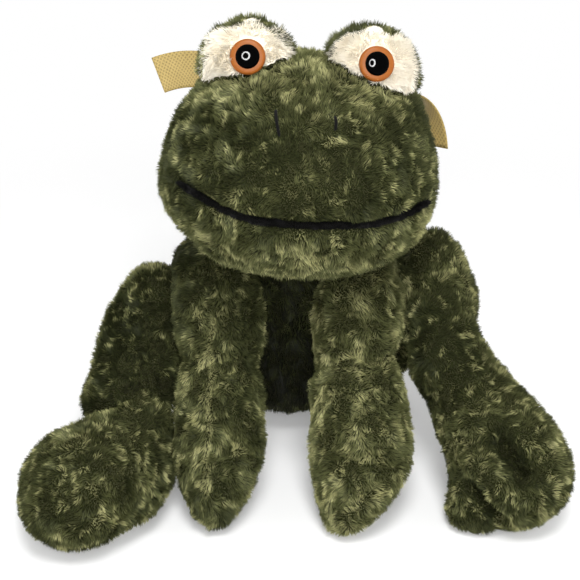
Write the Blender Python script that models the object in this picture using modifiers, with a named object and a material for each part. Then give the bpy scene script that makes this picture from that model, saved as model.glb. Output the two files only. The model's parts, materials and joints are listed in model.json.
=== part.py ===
"""Plush frog, sitting on its rump with hands and feet on the floor. Metres, +Z up, facing -Y.

Right and left are the toy's own sides, so its right is at -X. The origin is under the rump, on the floor.
Each limb segment is a fleece sock round its stuffing. Its upper end is a ball that sits in a socket of the
segment above, and a filling hole runs through the ball.
"""

import math

import bmesh
import bpy
from mathutils import Matrix, Vector
from mathutils.geometry import interpolate_bezier

X_AXIS = Vector((1, 0, 0))
Y_AXIS = Vector((0, 1, 0))
Z_AXIS = Vector((0, 0, 1))
RIGHT = -1
LEFT = 1
SIDE_NAMES = {RIGHT: "right", LEFT: "left"}

# Cloth and clearances
WALL = 0.003  # fleece with its backing
GAP = 0.0003  # between pieces that touch
FLOOR_CUT = 0.0005  # depth of the flats that the toy stands on
OVERRUN = 0.002  # how far a cutter runs past what it cuts
FILL_HOLE_RADIUS = 0.009  # where a limb was stuffed before it was sewn on
LIMB_SIDES = 12
BODY_SIDES = 16
INNER_SIDES = 8
BALL_SIDES = 12
BALL_RINGS = 6
POLE_SHARE = 0.45  # how far a rounded end reaches past its last ring, of that ring's half width
SETTLING_ROUNDS = 3

# Torso, on an axis that leans forward from the rump to the neck joint
TORSO_LENGTH = 0.205
TORSO_WIDTH = 0.158
TORSO_DEPTH = 0.156
TORSO_LEAN = math.radians(17)
TORSO_SHARES = (  # along, width, depth
    (0.05, 0.52, 0.52),
    (0.20, 0.88, 0.90),
    (0.42, 1.00, 1.00),
    (0.64, 0.88, 0.88),
    (0.84, 0.64, 0.66),
    (1.00, 0.44, 0.50),
)
NECK_RADIUS = 0.036
PELLET_BAG_WIDTH = 0.086
PELLET_BAG_DEPTH = 0.080
PELLET_BAG_HEIGHT = 0.046
PELLET_BAG_RISE_SHARE = 0.30  # of its middle above the floor, of its height

# Heights and widths of an upright egg, which the pellet bag, eye mounds and knot follow
EGG_SHARES = ((-1.0, 0), (-0.66, 0.74), (0, 1.0), (0.66, 0.74), (1.0, 0))

# Head, in its own frame: centre at zero, face towards -Y
HEAD_WIDTH = 0.187
HEAD_DEPTH = 0.152
HEAD_HEIGHT = 0.150
HEAD_FORWARD = 0.050  # from the neck joint to the head's centre
HEAD_RISE = 0.037
HEAD_SIDE = 0.006
HEAD_ROLL = math.radians(4)
HEAD_YAW = math.radians(2)
HEAD_SHARES = (  # height, width, depth, forward
    (-1.00, 0, 0, 0),
    (-0.84, 0.64, 0.60, 0.02),
    (-0.50, 0.94, 0.90, 0.05),
    (-0.02, 1.00, 1.00, 0.06),
    (0.45, 0.91, 0.87, 0.02),
    (0.84, 0.58, 0.54, -0.03),
    (1.00, 0, 0, -0.03),
)

# Eye mounds at the top of the head, with a cream patch on the front of each
MOUND_WIDTH = 0.066
MOUND_DEPTH = 0.054
MOUND_HEIGHT = 0.066
MOUND_SPREAD = 0.077  # between the centres of the two mounds
MOUND_SIDE = 0.002  # of their middle from the head's middle
MOUND_RISE_SHARE = 0.81
MOUND_BACK_SHARE = 0.10
PATCH_THICKNESS = 0.0035
PATCH_BACK_SHARE = 0.10  # how far back the patch reaches, of the mound's depth

# Eyes, each a disc with a stem through the fleece and a washer behind it
EYE_PITCH = math.radians(24)
EYE_SPLAY = math.radians(3)
EYE_SEAT_SHARE = 0.45  # where the disc's back lies in the thickness of the patch
IRIS_RADIUS = 0.0110
IRIS_THICKNESS = 0.0030
IRIS_EDGE = 0.0016
PUPIL_RADIUS = 0.0075
PUPIL_RISE = 0.0032
PUPIL_SEAT = 0.0012
STEM_RADIUS = 0.0025
STEM_LENGTH = 0.014
WASHER_RADIUS = 0.0070
WASHER_THICKNESS = 0.0022
WASHER_DEPTH = 0.0045  # of the washer's front behind the mound's surface
EYE_STEPS = 16
DOME_STEPS = 3

# Stitched face
THREAD_LIFT = 0.0015
MOUTH_THICKNESS = 0.0046
MOUTH_WIDTH = 0.162
MOUTH_LEVEL_SHARE = -0.12
MOUTH_SMILE = 0.006
MOUTH_STEPS = 10
NOSTRIL_WIDTH = 0.0020
NOSTRIL_SPREAD = 0.035
NOSTRIL_SIDE = -0.0015  # of their middle from the head's middle
NOSTRIL_HEIGHT = 0.013
NOSTRIL_HEIGHT_SHARES = {RIGHT: 1.0, LEFT: 0.5}
NOSTRIL_LEVEL_SHARE = 0.66

# Arms, each aimed down and forward
ARM_WIDTH = 0.067
SHOULDER_RADIUS = 0.028
ELBOW_RADIUS = 0.0275
UPPER_ARM_LENGTH = 0.065
SHOULDER_ALONG_SHARE = 0.69
SHOULDER_OUT = 0.048
SHOULDER_FORWARD_SHARE = 0.52
UPPER_ARM_AIMS = {RIGHT: Vector((-0.02, -0.60, -0.80)), LEFT: Vector((-0.04, -0.63, -0.78))}
FOREARM_AIMS = {RIGHT: Vector((-0.01, -0.60, -0.80)), LEFT: Vector((0.08, -0.64, -0.76))}
HAND_WIDTH_SHARES = {RIGHT: 1.0, LEFT: 1.09}
UPPER_ARM_SHARES = ((0.0, 0.84), (0.32, 1.02), (0.68, 0.96), (1.0, 0.76))
FOREARM_SHARES = ((0.0, 0.82), (0.30, 0.96), (0.62, 1.00), (0.88, 0.64))

# Legs, each thigh raised beside the torso and each shin coming down in front of it
THIGH_WIDTH = 0.072
SHIN_WIDTH = 0.061
HIP_RADIUS = 0.033
KNEE_RADIUS = 0.029
ANKLE_RADIUS = 0.028
THIGH_LENGTH = 0.084
THIGH_LENGTH_SHARES = {RIGHT: 0.98, LEFT: 1.19}
SHIN_LENGTH = 0.071
SHIN_LENGTH_SHARES = {RIGHT: 1.09, LEFT: 0.92}
HIP_ALONG_SHARE = 0.22
HIP_OUT = 0.068
THIGH_AIMS = {RIGHT: Vector((-0.39, -0.60, 0.70)), LEFT: Vector((0.35, -0.51, 0.79))}
SHIN_AIMS = {RIGHT: Vector((-0.23, -0.81, -0.54)), LEFT: Vector((0.18, -0.76, -0.62))}
THIGH_SHARES = ((0.0, 0.84), (0.40, 1.02), (0.78, 0.97), (1.0, 0.80))
SHIN_SHARES = ((0.0, 0.90), (0.35, 1.00), (0.72, 0.96), (1.0, 0.78))

# Feet, lying on the floor in front of the ankles
FOOT_LENGTH = 0.120
FOOT_WIDTH = 0.084
FOOT_HEIGHT = 0.084
FOOT_AIMS = {RIGHT: Vector((-0.60, -0.80, 0)), LEFT: Vector((0.40, -0.80, -0.44))}
HEEL_SHARES = {RIGHT: (0.28, -0.12), LEFT: (-0.09, -0.06)}  # inward and forward of the ankle, of the width
FOOT_SHARES = ((0.06, 0.66, 0.68), (0.34, 0.84, 0.88), (0.68, 1.0, 1.0), (0.94, 0.74, 0.74))
FOOT_INNER_LIMIT = 0.0865  # where a foot is pressed flat beside the hand, from the middle

# Ribbon, tied behind the neck, with two tails
RIBBON_WIDTH = 0.027
RIBBON_THICKNESS = 0.0010
COLLAR_WIDTH = 0.012  # where the ribbon is gathered round the neck
COLLAR_DROP = 0.016  # of its middle, below the neck joint
KNOT_WIDTH = 0.022
KNOT_DEPTH = 0.015
KNOT_HEIGHT = 0.018
TAIL_STEPS = 9
TAIL_GATHER_SHARE = 0.45
TAIL_RISE_SHARES = {RIGHT: (-0.19, 0.12, 0.31), LEFT: (0.24, 0.14, 0.31)}  # of the head's width
TAIL_FALL_SHARES = {RIGHT: (-0.35, 0.08, 0.36), LEFT: (0.55, 0.05, 0.38)}
TAIL_END_SHARES = {RIGHT: (-0.51, 0.04, 0.31), LEFT: (0.58, 0.0, 0.05)}
TAIL_LIES = {RIGHT: Vector((0.33, -0.44, -0.83)), LEFT: Vector((-0.55, 0.75, 0.30))}

# Joint ranges, in degrees from the sitting pose
NOD_RANGE = (-12, 6)
SHOULDER_RANGE = (0, 25)
ELBOW_RANGE = (0, 20)
HIP_RANGE = (0, 20)
KNEE_RANGE = (0, 35)
ANKLE_RANGE = (-8, 12)

# Colours
FLEECE = (0.17, 0.21, 0.10, 1)
STUFFING = (0.85, 0.85, 0.82, 1)
CREAM = (0.85, 0.75, 0.60, 1)
AMBER = (0.48, 0.16, 0.04, 1)
BLACK = (0.01, 0.01, 0.01, 1)
THREAD = (0.015, 0.015, 0.02, 1)
GOLD = (0.55, 0.40, 0.15, 1)
PELLETS = (0.70, 0.68, 0.60, 1)
WHITE_PLASTIC = (0.80, 0.80, 0.78, 1)


class Toy:
    """The collection of the toy's pieces, and the one of the tools that cut them."""

    parts = None
    cutters = None


def new_collection(name):
    """A collection of the scene."""
    collection = bpy.data.collections.new(name)
    bpy.context.scene.collection.children.link(collection)
    return collection


def material(name, colour, roughness):
    """A plain Principled material."""
    finish = bpy.data.materials.new(name)
    finish.use_nodes = True
    shader = finish.node_tree.nodes["Principled BSDF"]
    shader.inputs["Base Color"].default_value = colour
    shader.inputs["Roughness"].default_value = roughness
    shader.inputs["Metallic"].default_value = 0
    return finish


def as_mesh(name, shape):
    """The mesh of a bmesh, which is freed."""
    mesh = bpy.data.meshes.new(name)
    shape.to_mesh(mesh)
    shape.free()
    return mesh


def piece(name, shape, colour, frame=None, roughness=0.9):
    """A node of the toy."""
    node = bpy.data.objects.new(name, as_mesh(name, shape))
    node.data.materials.append(material(name, colour, roughness))
    node.matrix_world = frame or Matrix()
    Toy.parts.objects.link(node)
    return node


def cutter(name, shape, frame=None):
    """A tool for a Boolean, which isn't a node."""
    tool = bpy.data.objects.new(name, as_mesh(name, shape))
    tool.matrix_world = frame or Matrix()
    tool.hide_render = True
    tool.display_type = "WIRE"
    Toy.cutters.objects.link(tool)
    return tool


def boolean(node, tool, operation="DIFFERENCE"):
    """Cuts a node by a tool, or joins or intersects them."""
    step = node.modifiers.new(tool.name, "BOOLEAN")
    step.operation = operation
    step.object = tool
    step.solver = "EXACT"


def mirrored(station):
    """A station seen past its pole, with its sizes turned round."""
    return Vector((*station[:3], -station[3], -station[4]))


def refined(stations):
    """The stations with one more between each two, on a smooth curve that is round at both poles."""
    line = [mirrored(stations[1]), *stations, mirrored(stations[-2])]
    fuller = [stations[0]]
    for i in range(1, len(line) - 2):
        between = (9 * (line[i] + line[i + 1]) - line[i - 1] - line[i + 2]) / 16
        fuller.extend((between, line[i + 1]))
    return fuller


def round_form(stations, sides, grow=0.0):
    """A closed round form, grown or shrunk, through stations of centre, half width and half depth.

    The first and last stations are its poles.
    """
    first, last = Vector(stations[0][:3]), Vector(stations[-1][:3])
    along = (last - first).normalized()
    across = (X_AXIS - along * X_AXIS.dot(along)).normalized()
    deep = along.cross(across)
    end = len(stations) - 1
    shape = bmesh.new()
    bmesh.ops.create_uvsphere(shape, u_segments=sides, v_segments=end, radius=1)
    for point in shape.verts:
        level = end - round(math.acos(max(-1, min(1, point.co.z))) / math.pi * end)
        if level == 0:
            point.co = first - along * grow
        elif level == end:
            point.co = last + along * grow
        else:
            x, y, z, half_width, half_depth = stations[level]
            turn = math.atan2(point.co.y, point.co.x)
            sideways = across * math.cos(turn) * (half_width + grow)
            forwards = deep * math.sin(turn) * (half_depth + grow)
            point.co = Vector((x, y, z)) + sideways + forwards
    bmesh.ops.triangulate(shape, faces=shape.faces[:], quad_method="FIXED")
    return shape


def ball(centre, radius, axis, turned=False):
    """A ball whose poles lie on the joint's axis, turned by half a side or not."""
    aim = axis.to_track_quat("Z", "Y").to_matrix().to_4x4()
    turn = Matrix.Rotation(math.pi / BALL_SIDES if turned else 0, 4, "Z")
    placed = Matrix.Translation(centre) @ aim @ turn
    shape = bmesh.new()
    bmesh.ops.create_uvsphere(
        shape, u_segments=BALL_SIDES, v_segments=BALL_RINGS, radius=radius, matrix=placed
    )
    return shape


def block(low, high):
    """A box between two corners."""
    shape = bmesh.new()
    size = Matrix.Diagonal(Vector(high) - Vector(low)).to_4x4()
    placed = Matrix.Translation((Vector(low) + Vector(high)) / 2) @ size
    bmesh.ops.create_cube(shape, size=1, matrix=placed)
    return shape


def rod(start, end, radius, sides):
    """A cylinder from one point to another."""
    along = end - start
    aim = along.to_track_quat("Z", "Y").to_matrix().to_4x4()
    placed = Matrix.Translation((start + end) / 2) @ aim
    shape = bmesh.new()
    bmesh.ops.create_cone(
        shape,
        cap_ends=True,
        segments=sides,
        radius1=radius,
        radius2=radius,
        depth=along.length,
        matrix=placed,
    )
    return shape


class Form:
    """A stuffed form: fleece skin and stuffing, made through stations along an axis."""

    def __init__(self, name, stations, sides=LIMB_SIDES, frame=None):
        self.name = name
        self.stations = stations
        self.sides = sides
        self.frame = frame or Matrix()
        self.skin = None
        self.cavity = None
        self.stuffing = None

    def outside(self, grow=0.0):
        """The form's outer shape, grown or not."""
        return round_form(refined(self.stations), self.sides, grow)

    def inside(self, shrink):
        """A plainer shape inside the skin."""
        return round_form(self.stations, INNER_SIDES, -shrink)

    def make(self):
        """The skin, not yet hollow, its cavity and the stuffing that fills it."""
        self.skin = piece(self.name + "_skin", self.outside(), FLEECE, self.frame)
        self.cavity = cutter(self.name + "_cavity", self.inside(WALL), self.frame)
        self.stuffing = piece(self.name + "_stuffing", self.inside(WALL + GAP), STUFFING, self.frame)

    def cut(self, tool):
        """Cuts skin and stuffing alike."""
        boolean(self.skin, tool)
        boolean(self.stuffing, tool)

    def press(self, name, shape_of, frame=None):
        """Presses the form flat against the shape that shape_of(grow) gives, with its wall kept."""
        for node, grow in ((self.skin, GAP), (self.cavity, GAP + WALL), (self.stuffing, GAP + WALL + GAP)):
            boolean(node, cutter(f"{node.name}_off_{name}", shape_of(grow), frame))

    def hollow(self):
        """Takes the cavity out of the skin."""
        boolean(self.skin, self.cavity)

    def grown(self, name, grow, turn=None):
        """A tool of the form's shape, grown, and turned about a joint."""
        return cutter(name, self.outside(grow), (turn or Matrix()) @ self.frame)

    def lowest(self):
        """The lowest point of the form."""
        shape = self.outside()
        low = min((self.frame @ point.co for point in shape.verts), key=lambda place: place.z)
        shape.free()
        return low


class Joint:
    """A hinge: its place and axis, the ball on the child, and the range in degrees."""

    def __init__(self, name, place, aim, radius, limits, axis=-X_AXIS):
        self.name = name
        self.place = place
        self.aim = aim
        self.radius = radius
        self.limits = limits
        self.axis = axis
        self.empty = bpy.data.objects.new(name, None)
        self.empty.matrix_world = Matrix.Translation(place)
        Toy.parts.objects.link(self.empty)

    def carry(self, *things):
        """Parents things to the joint and leaves them where they are."""
        for thing in things:
            thing.parent = self.empty
            thing.matrix_parent_inverse = self.empty.matrix_basis.inverted()

    def turned(self, degrees):
        """The turn of the parent as the child sees it when the joint stands at an angle."""
        to_joint = Matrix.Translation(self.place)
        return to_joint @ Matrix.Rotation(math.radians(-degrees), 4, self.axis) @ to_joint.inverted()

    def connect(self, parent, child, clearance=GAP, beside=()):
        """Cuts the child clear of the parent, then gives it the ball and the parent the socket.

        The child is also pressed against the forms beside it, each given with its frame.
        """
        for degrees in self.limits:
            turn = self.turned(degrees)
            boolean(child.skin, parent.grown(f"{self.name}_clearance_{degrees}", clearance, turn))
            boolean(child.stuffing, parent.grown(f"{self.name}_lining_{degrees}", clearance + WALL, turn))
        swivel = ball(self.place, self.radius, self.axis, turned=True)
        boolean(child.skin, cutter(self.name + "_ball", swivel), "UNION")
        for other, frame in beside:
            child.press(other.name, other.outside, frame @ other.frame)
        child.hollow()
        reach = self.aim * (self.radius + OVERRUN)
        mouth = rod(self.place - reach, self.place + self.aim * self.radius, FILL_HOLE_RADIUS, INNER_SIDES)
        boolean(child.skin, cutter(self.name + "_filling_hole", mouth))
        socket_radius = (self.radius + GAP) / math.cos(math.pi / BALL_SIDES)
        parent.cut(cutter(self.name + "_socket", ball(self.place, socket_radius, self.axis)))


def stations_along(start, along, width, depth, length, shares):
    """Stations at shares of a length, between rounded poles."""
    rings = []
    for along_share, width_share, depth_share in shares:
        centre = start + along * length * along_share
        rings.append(Vector((*centre, width / 2 * width_share, depth / 2 * depth_share)))
    reach = along * POLE_SHARE
    first = Vector(rings[0][:3]) - reach * rings[0][4]
    last = Vector(rings[-1][:3]) + reach * rings[-1][4]
    return [Vector((*first, 0, 0)), *rings, Vector((*last, 0, 0))]


def egg(middle, width, depth, height):
    """Stations of an upright egg of these sizes."""
    stations = []
    for rise_share, width_share in EGG_SHARES:
        centre = middle + Z_AXIS * height / 2 * rise_share
        stations.append(Vector((*centre, width / 2 * width_share, depth / 2 * width_share)))
    return stations


def limb(name, start, along, length, width, shares):
    """A round limb segment that starts at a joint."""
    both_shares = [(along_share, share, share) for along_share, share in shares]
    return Form(name, stations_along(start, along, width, width, length, both_shares))


def settled(make_form):
    """A form that make_form(drop) gives, dropped until the floor takes FLOOR_CUT off it."""
    drop = 0.0
    for _ in range(SETTLING_ROUNDS):
        drop += make_form(drop).lowest().z + FLOOR_CUT
    return make_form(drop)


def make_torso():
    """The torso, with the lowest point of its rump at the origin."""
    lean = Vector((0, -math.sin(TORSO_LEAN), math.cos(TORSO_LEAN)))

    def torso(start):
        stations = stations_along(start, lean, TORSO_WIDTH, TORSO_DEPTH, TORSO_LENGTH, TORSO_SHARES)
        return Form("torso", stations, BODY_SIDES)

    start = -torso(Vector()).lowest() - Z_AXIS * FLOOR_CUT
    return torso(start), start, lean


def make_pellet_bag(torso):
    """A flat bag of pellets on the bottom of the torso's cavity."""
    middle = Z_AXIS * PELLET_BAG_HEIGHT * PELLET_BAG_RISE_SHARE
    stations = egg(middle, PELLET_BAG_WIDTH, PELLET_BAG_DEPTH, PELLET_BAG_HEIGHT)
    bag = piece("pellet_bag", round_form(stations, INNER_SIDES), PELLETS)
    room = cutter("pellet_bag_room", torso.inside(WALL + GAP))
    boolean(bag, room, "INTERSECT")
    boolean(torso.stuffing, cutter("pellet_bag_space", round_form(stations, INNER_SIDES, GAP)))
    return bag


def make_head(neck):
    """The head, and the frame that its face is placed in."""
    centre = neck + Vector((HEAD_SIDE, -HEAD_FORWARD, HEAD_RISE))
    tilt = Matrix.Rotation(HEAD_YAW, 4, "Z") @ Matrix.Rotation(HEAD_ROLL, 4, "Y")
    half_width, half_depth, half_height = HEAD_WIDTH / 2, HEAD_DEPTH / 2, HEAD_HEIGHT / 2
    stations = []
    for rise_share, width_share, depth_share, forward_share in HEAD_SHARES:
        middle = (0, -half_depth * forward_share, half_height * rise_share)
        stations.append(Vector((*middle, half_width * width_share, half_depth * depth_share)))
    return Form("head", stations, BODY_SIDES, Matrix.Translation(centre) @ tilt)


def turned(name, outline, colour, roughness, frame):
    """A turned piece from an outline of (radius, height) that runs from the top down."""
    shape = bmesh.new()
    points = [shape.verts.new((radius, 0, height)) for radius, height in outline]
    for upper, lower in zip(points, points[1:]):
        shape.edges.new((upper, lower))
    node = piece(name, shape, colour, frame, roughness)
    turn = node.modifiers.new("turn", "SCREW")
    turn.steps = EYE_STEPS
    turn.render_steps = EYE_STEPS
    turn.use_merge_vertices = True
    turn.merge_threshold = GAP / 10
    return node


def make_eye(side, head):
    """A mound with its cream patch, and the eye that is fixed through both."""
    name = SIDE_NAMES[side]
    half = Vector((MOUND_WIDTH, MOUND_DEPTH, MOUND_HEIGHT)) / 2
    back, rise = HEAD_DEPTH / 2 * MOUND_BACK_SHARE, HEAD_HEIGHT / 2 * MOUND_RISE_SHARE
    middle = Vector((MOUND_SIDE + side * MOUND_SPREAD / 2, back, rise))
    stations = egg(middle, MOUND_WIDTH, MOUND_DEPTH, MOUND_HEIGHT)
    form = Form(name + "_eye_mound", stations, LIMB_SIDES, head.frame)

    aim = Matrix.Rotation(side * EYE_SPLAY, 3, "Z") @ Matrix.Rotation(-EYE_PITCH, 3, "X") @ -Y_AXIS
    spread = Vector(half[i] * aim[i] for i in range(3))
    surface = middle + Vector(half[i] * spread[i] for i in range(3)) / spread.length
    seat = surface + aim * PATCH_THICKNESS * EYE_SEAT_SHARE
    facing = aim.to_track_quat("Z", "Y").to_matrix().to_4x4()
    eye_frame = head.frame @ Matrix.Translation(seat) @ facing

    mound = piece(form.name, form.outside(), FLEECE, head.frame)
    patch = piece(name + "_eye_patch", form.outside(PATCH_THICKNESS), CREAM, head.frame)
    boolean(patch, form.grown(name + "_patch_lining", GAP))
    behind = middle.y + MOUND_DEPTH * PATCH_BACK_SHARE
    wide, tall = MOUND_WIDTH, MOUND_HEIGHT
    rear = block(middle + Vector((-wide, behind - middle.y, -tall)), middle + Vector((wide, wide, tall)))
    boolean(patch, cutter(name + "_patch_rear", rear, head.frame))
    seating = head.grown(name + "_mound_seating", GAP)
    boolean(mound, seating)
    boolean(patch, seating)
    bore = rod(Z_AXIS * -(STEM_LENGTH + OVERRUN), Z_AXIS * PATCH_THICKNESS, STEM_RADIUS + GAP, EYE_STEPS)
    bored = cutter(name + "_stem_bore", bore, eye_frame)
    boolean(mound, bored)
    boolean(patch, bored)
    bed = rod(Z_AXIS * -GAP, Z_AXIS * (PATCH_THICKNESS + OVERRUN), IRIS_RADIUS + GAP, EYE_STEPS)
    boolean(patch, cutter(name + "_iris_bed", bed, eye_frame))
    front = -Z_AXIS * (WASHER_DEPTH + PATCH_THICKNESS * EYE_SEAT_SHARE)
    rear = front - Z_AXIS * WASHER_THICKNESS
    pocket = rod(rear - Z_AXIS * GAP, front + Z_AXIS * GAP, WASHER_RADIUS + GAP, EYE_STEPS)
    washer_pocket = cutter(name + "_washer_pocket", pocket, eye_frame)
    boolean(mound, washer_pocket)
    head.cut(washer_pocket)
    washer = piece(name + "_eye_washer", rod(rear, front, WASHER_RADIUS, EYE_STEPS), WHITE_PLASTIC, eye_frame)
    boolean(washer, bored)

    iris = turned(
        name + "_eye_iris",
        (
            (0, PUPIL_SEAT),
            (PUPIL_RADIUS + GAP, PUPIL_SEAT),
            (PUPIL_RADIUS + GAP, IRIS_THICKNESS),
            (IRIS_RADIUS - IRIS_EDGE, IRIS_THICKNESS),
            (IRIS_RADIUS, IRIS_THICKNESS - IRIS_EDGE),
            (IRIS_RADIUS, 0),
            (STEM_RADIUS, 0),
            (STEM_RADIUS, -STEM_LENGTH),
            (0, -STEM_LENGTH),
        ),
        AMBER,
        0.15,
        eye_frame,
    )
    base = PUPIL_SEAT + GAP
    dome = [(0, IRIS_THICKNESS + PUPIL_RISE)]
    for step in range(1, DOME_STEPS + 1):
        turn = math.pi / 2 * step / DOME_STEPS
        dome.append((PUPIL_RADIUS * math.sin(turn), IRIS_THICKNESS + PUPIL_RISE * math.cos(turn)))
    pupil = turned(name + "_eye_pupil", (*dome, (PUPIL_RADIUS, base), (0, base)), BLACK, 0.05, eye_frame)
    return [mound, patch, washer, iris, pupil]


def stitched(name, shape, head, thickness=0.0):
    """Thread on the head's surface, where the head meets a thin shape."""
    node = piece(name, shape, THREAD, head.frame)
    if thickness:
        wall = node.modifiers.new("thickness", "SOLIDIFY")
        wall.thickness = thickness
        wall.offset = 0
    boolean(node, head.grown(name + "_outside", THREAD_LIFT), "INTERSECT")
    boolean(node, head.grown(name + "_inside", GAP))
    return node


def make_face(head):
    """The mouth line and the two nostril stitches."""
    sheet = bmesh.new()
    bmesh.ops.create_grid(sheet, x_segments=MOUTH_STEPS, y_segments=1, size=1)
    for point in sheet.verts:
        level = HEAD_HEIGHT / 2 * MOUTH_LEVEL_SHARE + MOUTH_SMILE * point.co.x**2
        point.co = Vector((point.co.x * MOUTH_WIDTH / 2, HEAD_DEPTH / 2 * (point.co.y - 1), level))
    nodes = [stitched("mouth_line", sheet, head, MOUTH_THICKNESS)]
    for side in (RIGHT, LEFT):
        across = NOSTRIL_SIDE + side * NOSTRIL_SPREAD / 2
        level = HEAD_HEIGHT / 2 * NOSTRIL_LEVEL_SHARE
        corner = Vector((NOSTRIL_WIDTH, 0, NOSTRIL_HEIGHT * NOSTRIL_HEIGHT_SHARES[side])) / 2
        place = Vector((across, 0, level))
        bar = block(place - corner - Y_AXIS * HEAD_DEPTH, place + corner)
        nodes.append(stitched(SIDE_NAMES[side] + "_nostril", bar, head))
    return nodes


def make_ribbon(torso, neck_place, lean):
    """The band round the neck, its knot behind, and the two tails."""
    upright = lean.to_track_quat("Z", "Y").to_matrix().to_4x4()
    level = Matrix.Translation(neck_place - lean * COLLAR_DROP) @ upright
    collar = piece("ribbon_collar", torso.outside(GAP + RIBBON_THICKNESS), GOLD)
    boolean(collar, torso.grown("collar_lining", GAP))
    corner = Vector((TORSO_WIDTH, TORSO_WIDTH, COLLAR_WIDTH)) / 2
    boolean(collar, cutter("collar_band", block(-corner, corner), level), "INTERSECT")

    back = Vector((0, math.cos(TORSO_LEAN), math.sin(TORSO_LEAN)))
    neck_depth = TORSO_DEPTH / 2 * TORSO_SHARES[-2][2]
    knot_place = neck_place - lean * COLLAR_DROP + back * neck_depth
    stations = egg(knot_place, KNOT_WIDTH, KNOT_DEPTH, KNOT_HEIGHT)
    knot = piece("ribbon_knot", round_form(stations, INNER_SIDES), GOLD)
    off_collar = torso.grown("ribbon_seating", 2 * GAP + RIBBON_THICKNESS)
    boolean(knot, off_collar)
    off_knot = cutter("knot_space", round_form(stations, INNER_SIDES, GAP))
    for side in (RIGHT, LEFT):
        turns = (TAIL_RISE_SHARES[side], TAIL_FALL_SHARES[side], TAIL_END_SHARES[side])
        route = [knot_place + Vector(shares) * HEAD_WIDTH for shares in turns]
        curve = interpolate_bezier(knot_place, *route, TAIL_STEPS + 1)
        strip = bmesh.new()
        bmesh.ops.create_grid(strip, x_segments=TAIL_STEPS, y_segments=1, size=1)
        for point in strip.verts:
            share = (point.co.x + 1) / 2
            opened = min(1, TAIL_GATHER_SHARE + 2 * share)
            lie = TAIL_LIES[side].normalized() * RIBBON_WIDTH / 2 * opened * point.co.y
            point.co = curve[round(share * TAIL_STEPS)] + lie
        tail = piece(SIDE_NAMES[side] + "_ribbon_tail", strip, GOLD)
        wall = tail.modifiers.new("thickness", "SOLIDIFY")
        wall.thickness = RIBBON_THICKNESS
        wall.offset = 0
        boolean(tail, off_knot)
        boolean(tail, off_collar)


def make_arm(side, torso, start, lean, head, neck):
    """An arm from its shoulder to the floor."""
    name = SIDE_NAMES[side]
    out = X_AXIS * side * SHOULDER_OUT
    forward = -Y_AXIS * TORSO_DEPTH / 2 * SHOULDER_FORWARD_SHARE
    shoulder_place = start + lean * TORSO_LENGTH * SHOULDER_ALONG_SHARE + out + forward
    aim = UPPER_ARM_AIMS[side].normalized()
    upper = limb(name + "_upper_arm", shoulder_place, aim, UPPER_ARM_LENGTH, ARM_WIDTH, UPPER_ARM_SHARES)
    elbow_place = shoulder_place + aim * UPPER_ARM_LENGTH
    lower_aim = FOREARM_AIMS[side].normalized()
    width = ARM_WIDTH * HAND_WIDTH_SHARES[side]

    def forearm(drop):
        length = (elbow_place.z + drop) / -lower_aim.z
        return limb(name + "_forearm", elbow_place, lower_aim, length, width, FOREARM_SHARES)

    lower = settled(forearm)
    upper.make()
    lower.make()
    shoulder = Joint(name + "_shoulder", shoulder_place, aim, SHOULDER_RADIUS, SHOULDER_RANGE, -X_AXIS)
    elbow = Joint(name + "_elbow", elbow_place, lower_aim, ELBOW_RADIUS, ELBOW_RANGE, -X_AXIS)
    nodding = neck.turned(-NOD_RANGE[1])
    over_arm = [(head, shoulder.turned(turn) @ nodding) for turn in SHOULDER_RANGE]
    shoulder.connect(torso, upper, beside=over_arm)
    elbow.connect(upper, lower, beside=[(torso, Matrix())])
    shoulder.carry(upper.skin, upper.stuffing, elbow.empty)
    elbow.carry(lower.skin, lower.stuffing)
    return upper, lower


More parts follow.
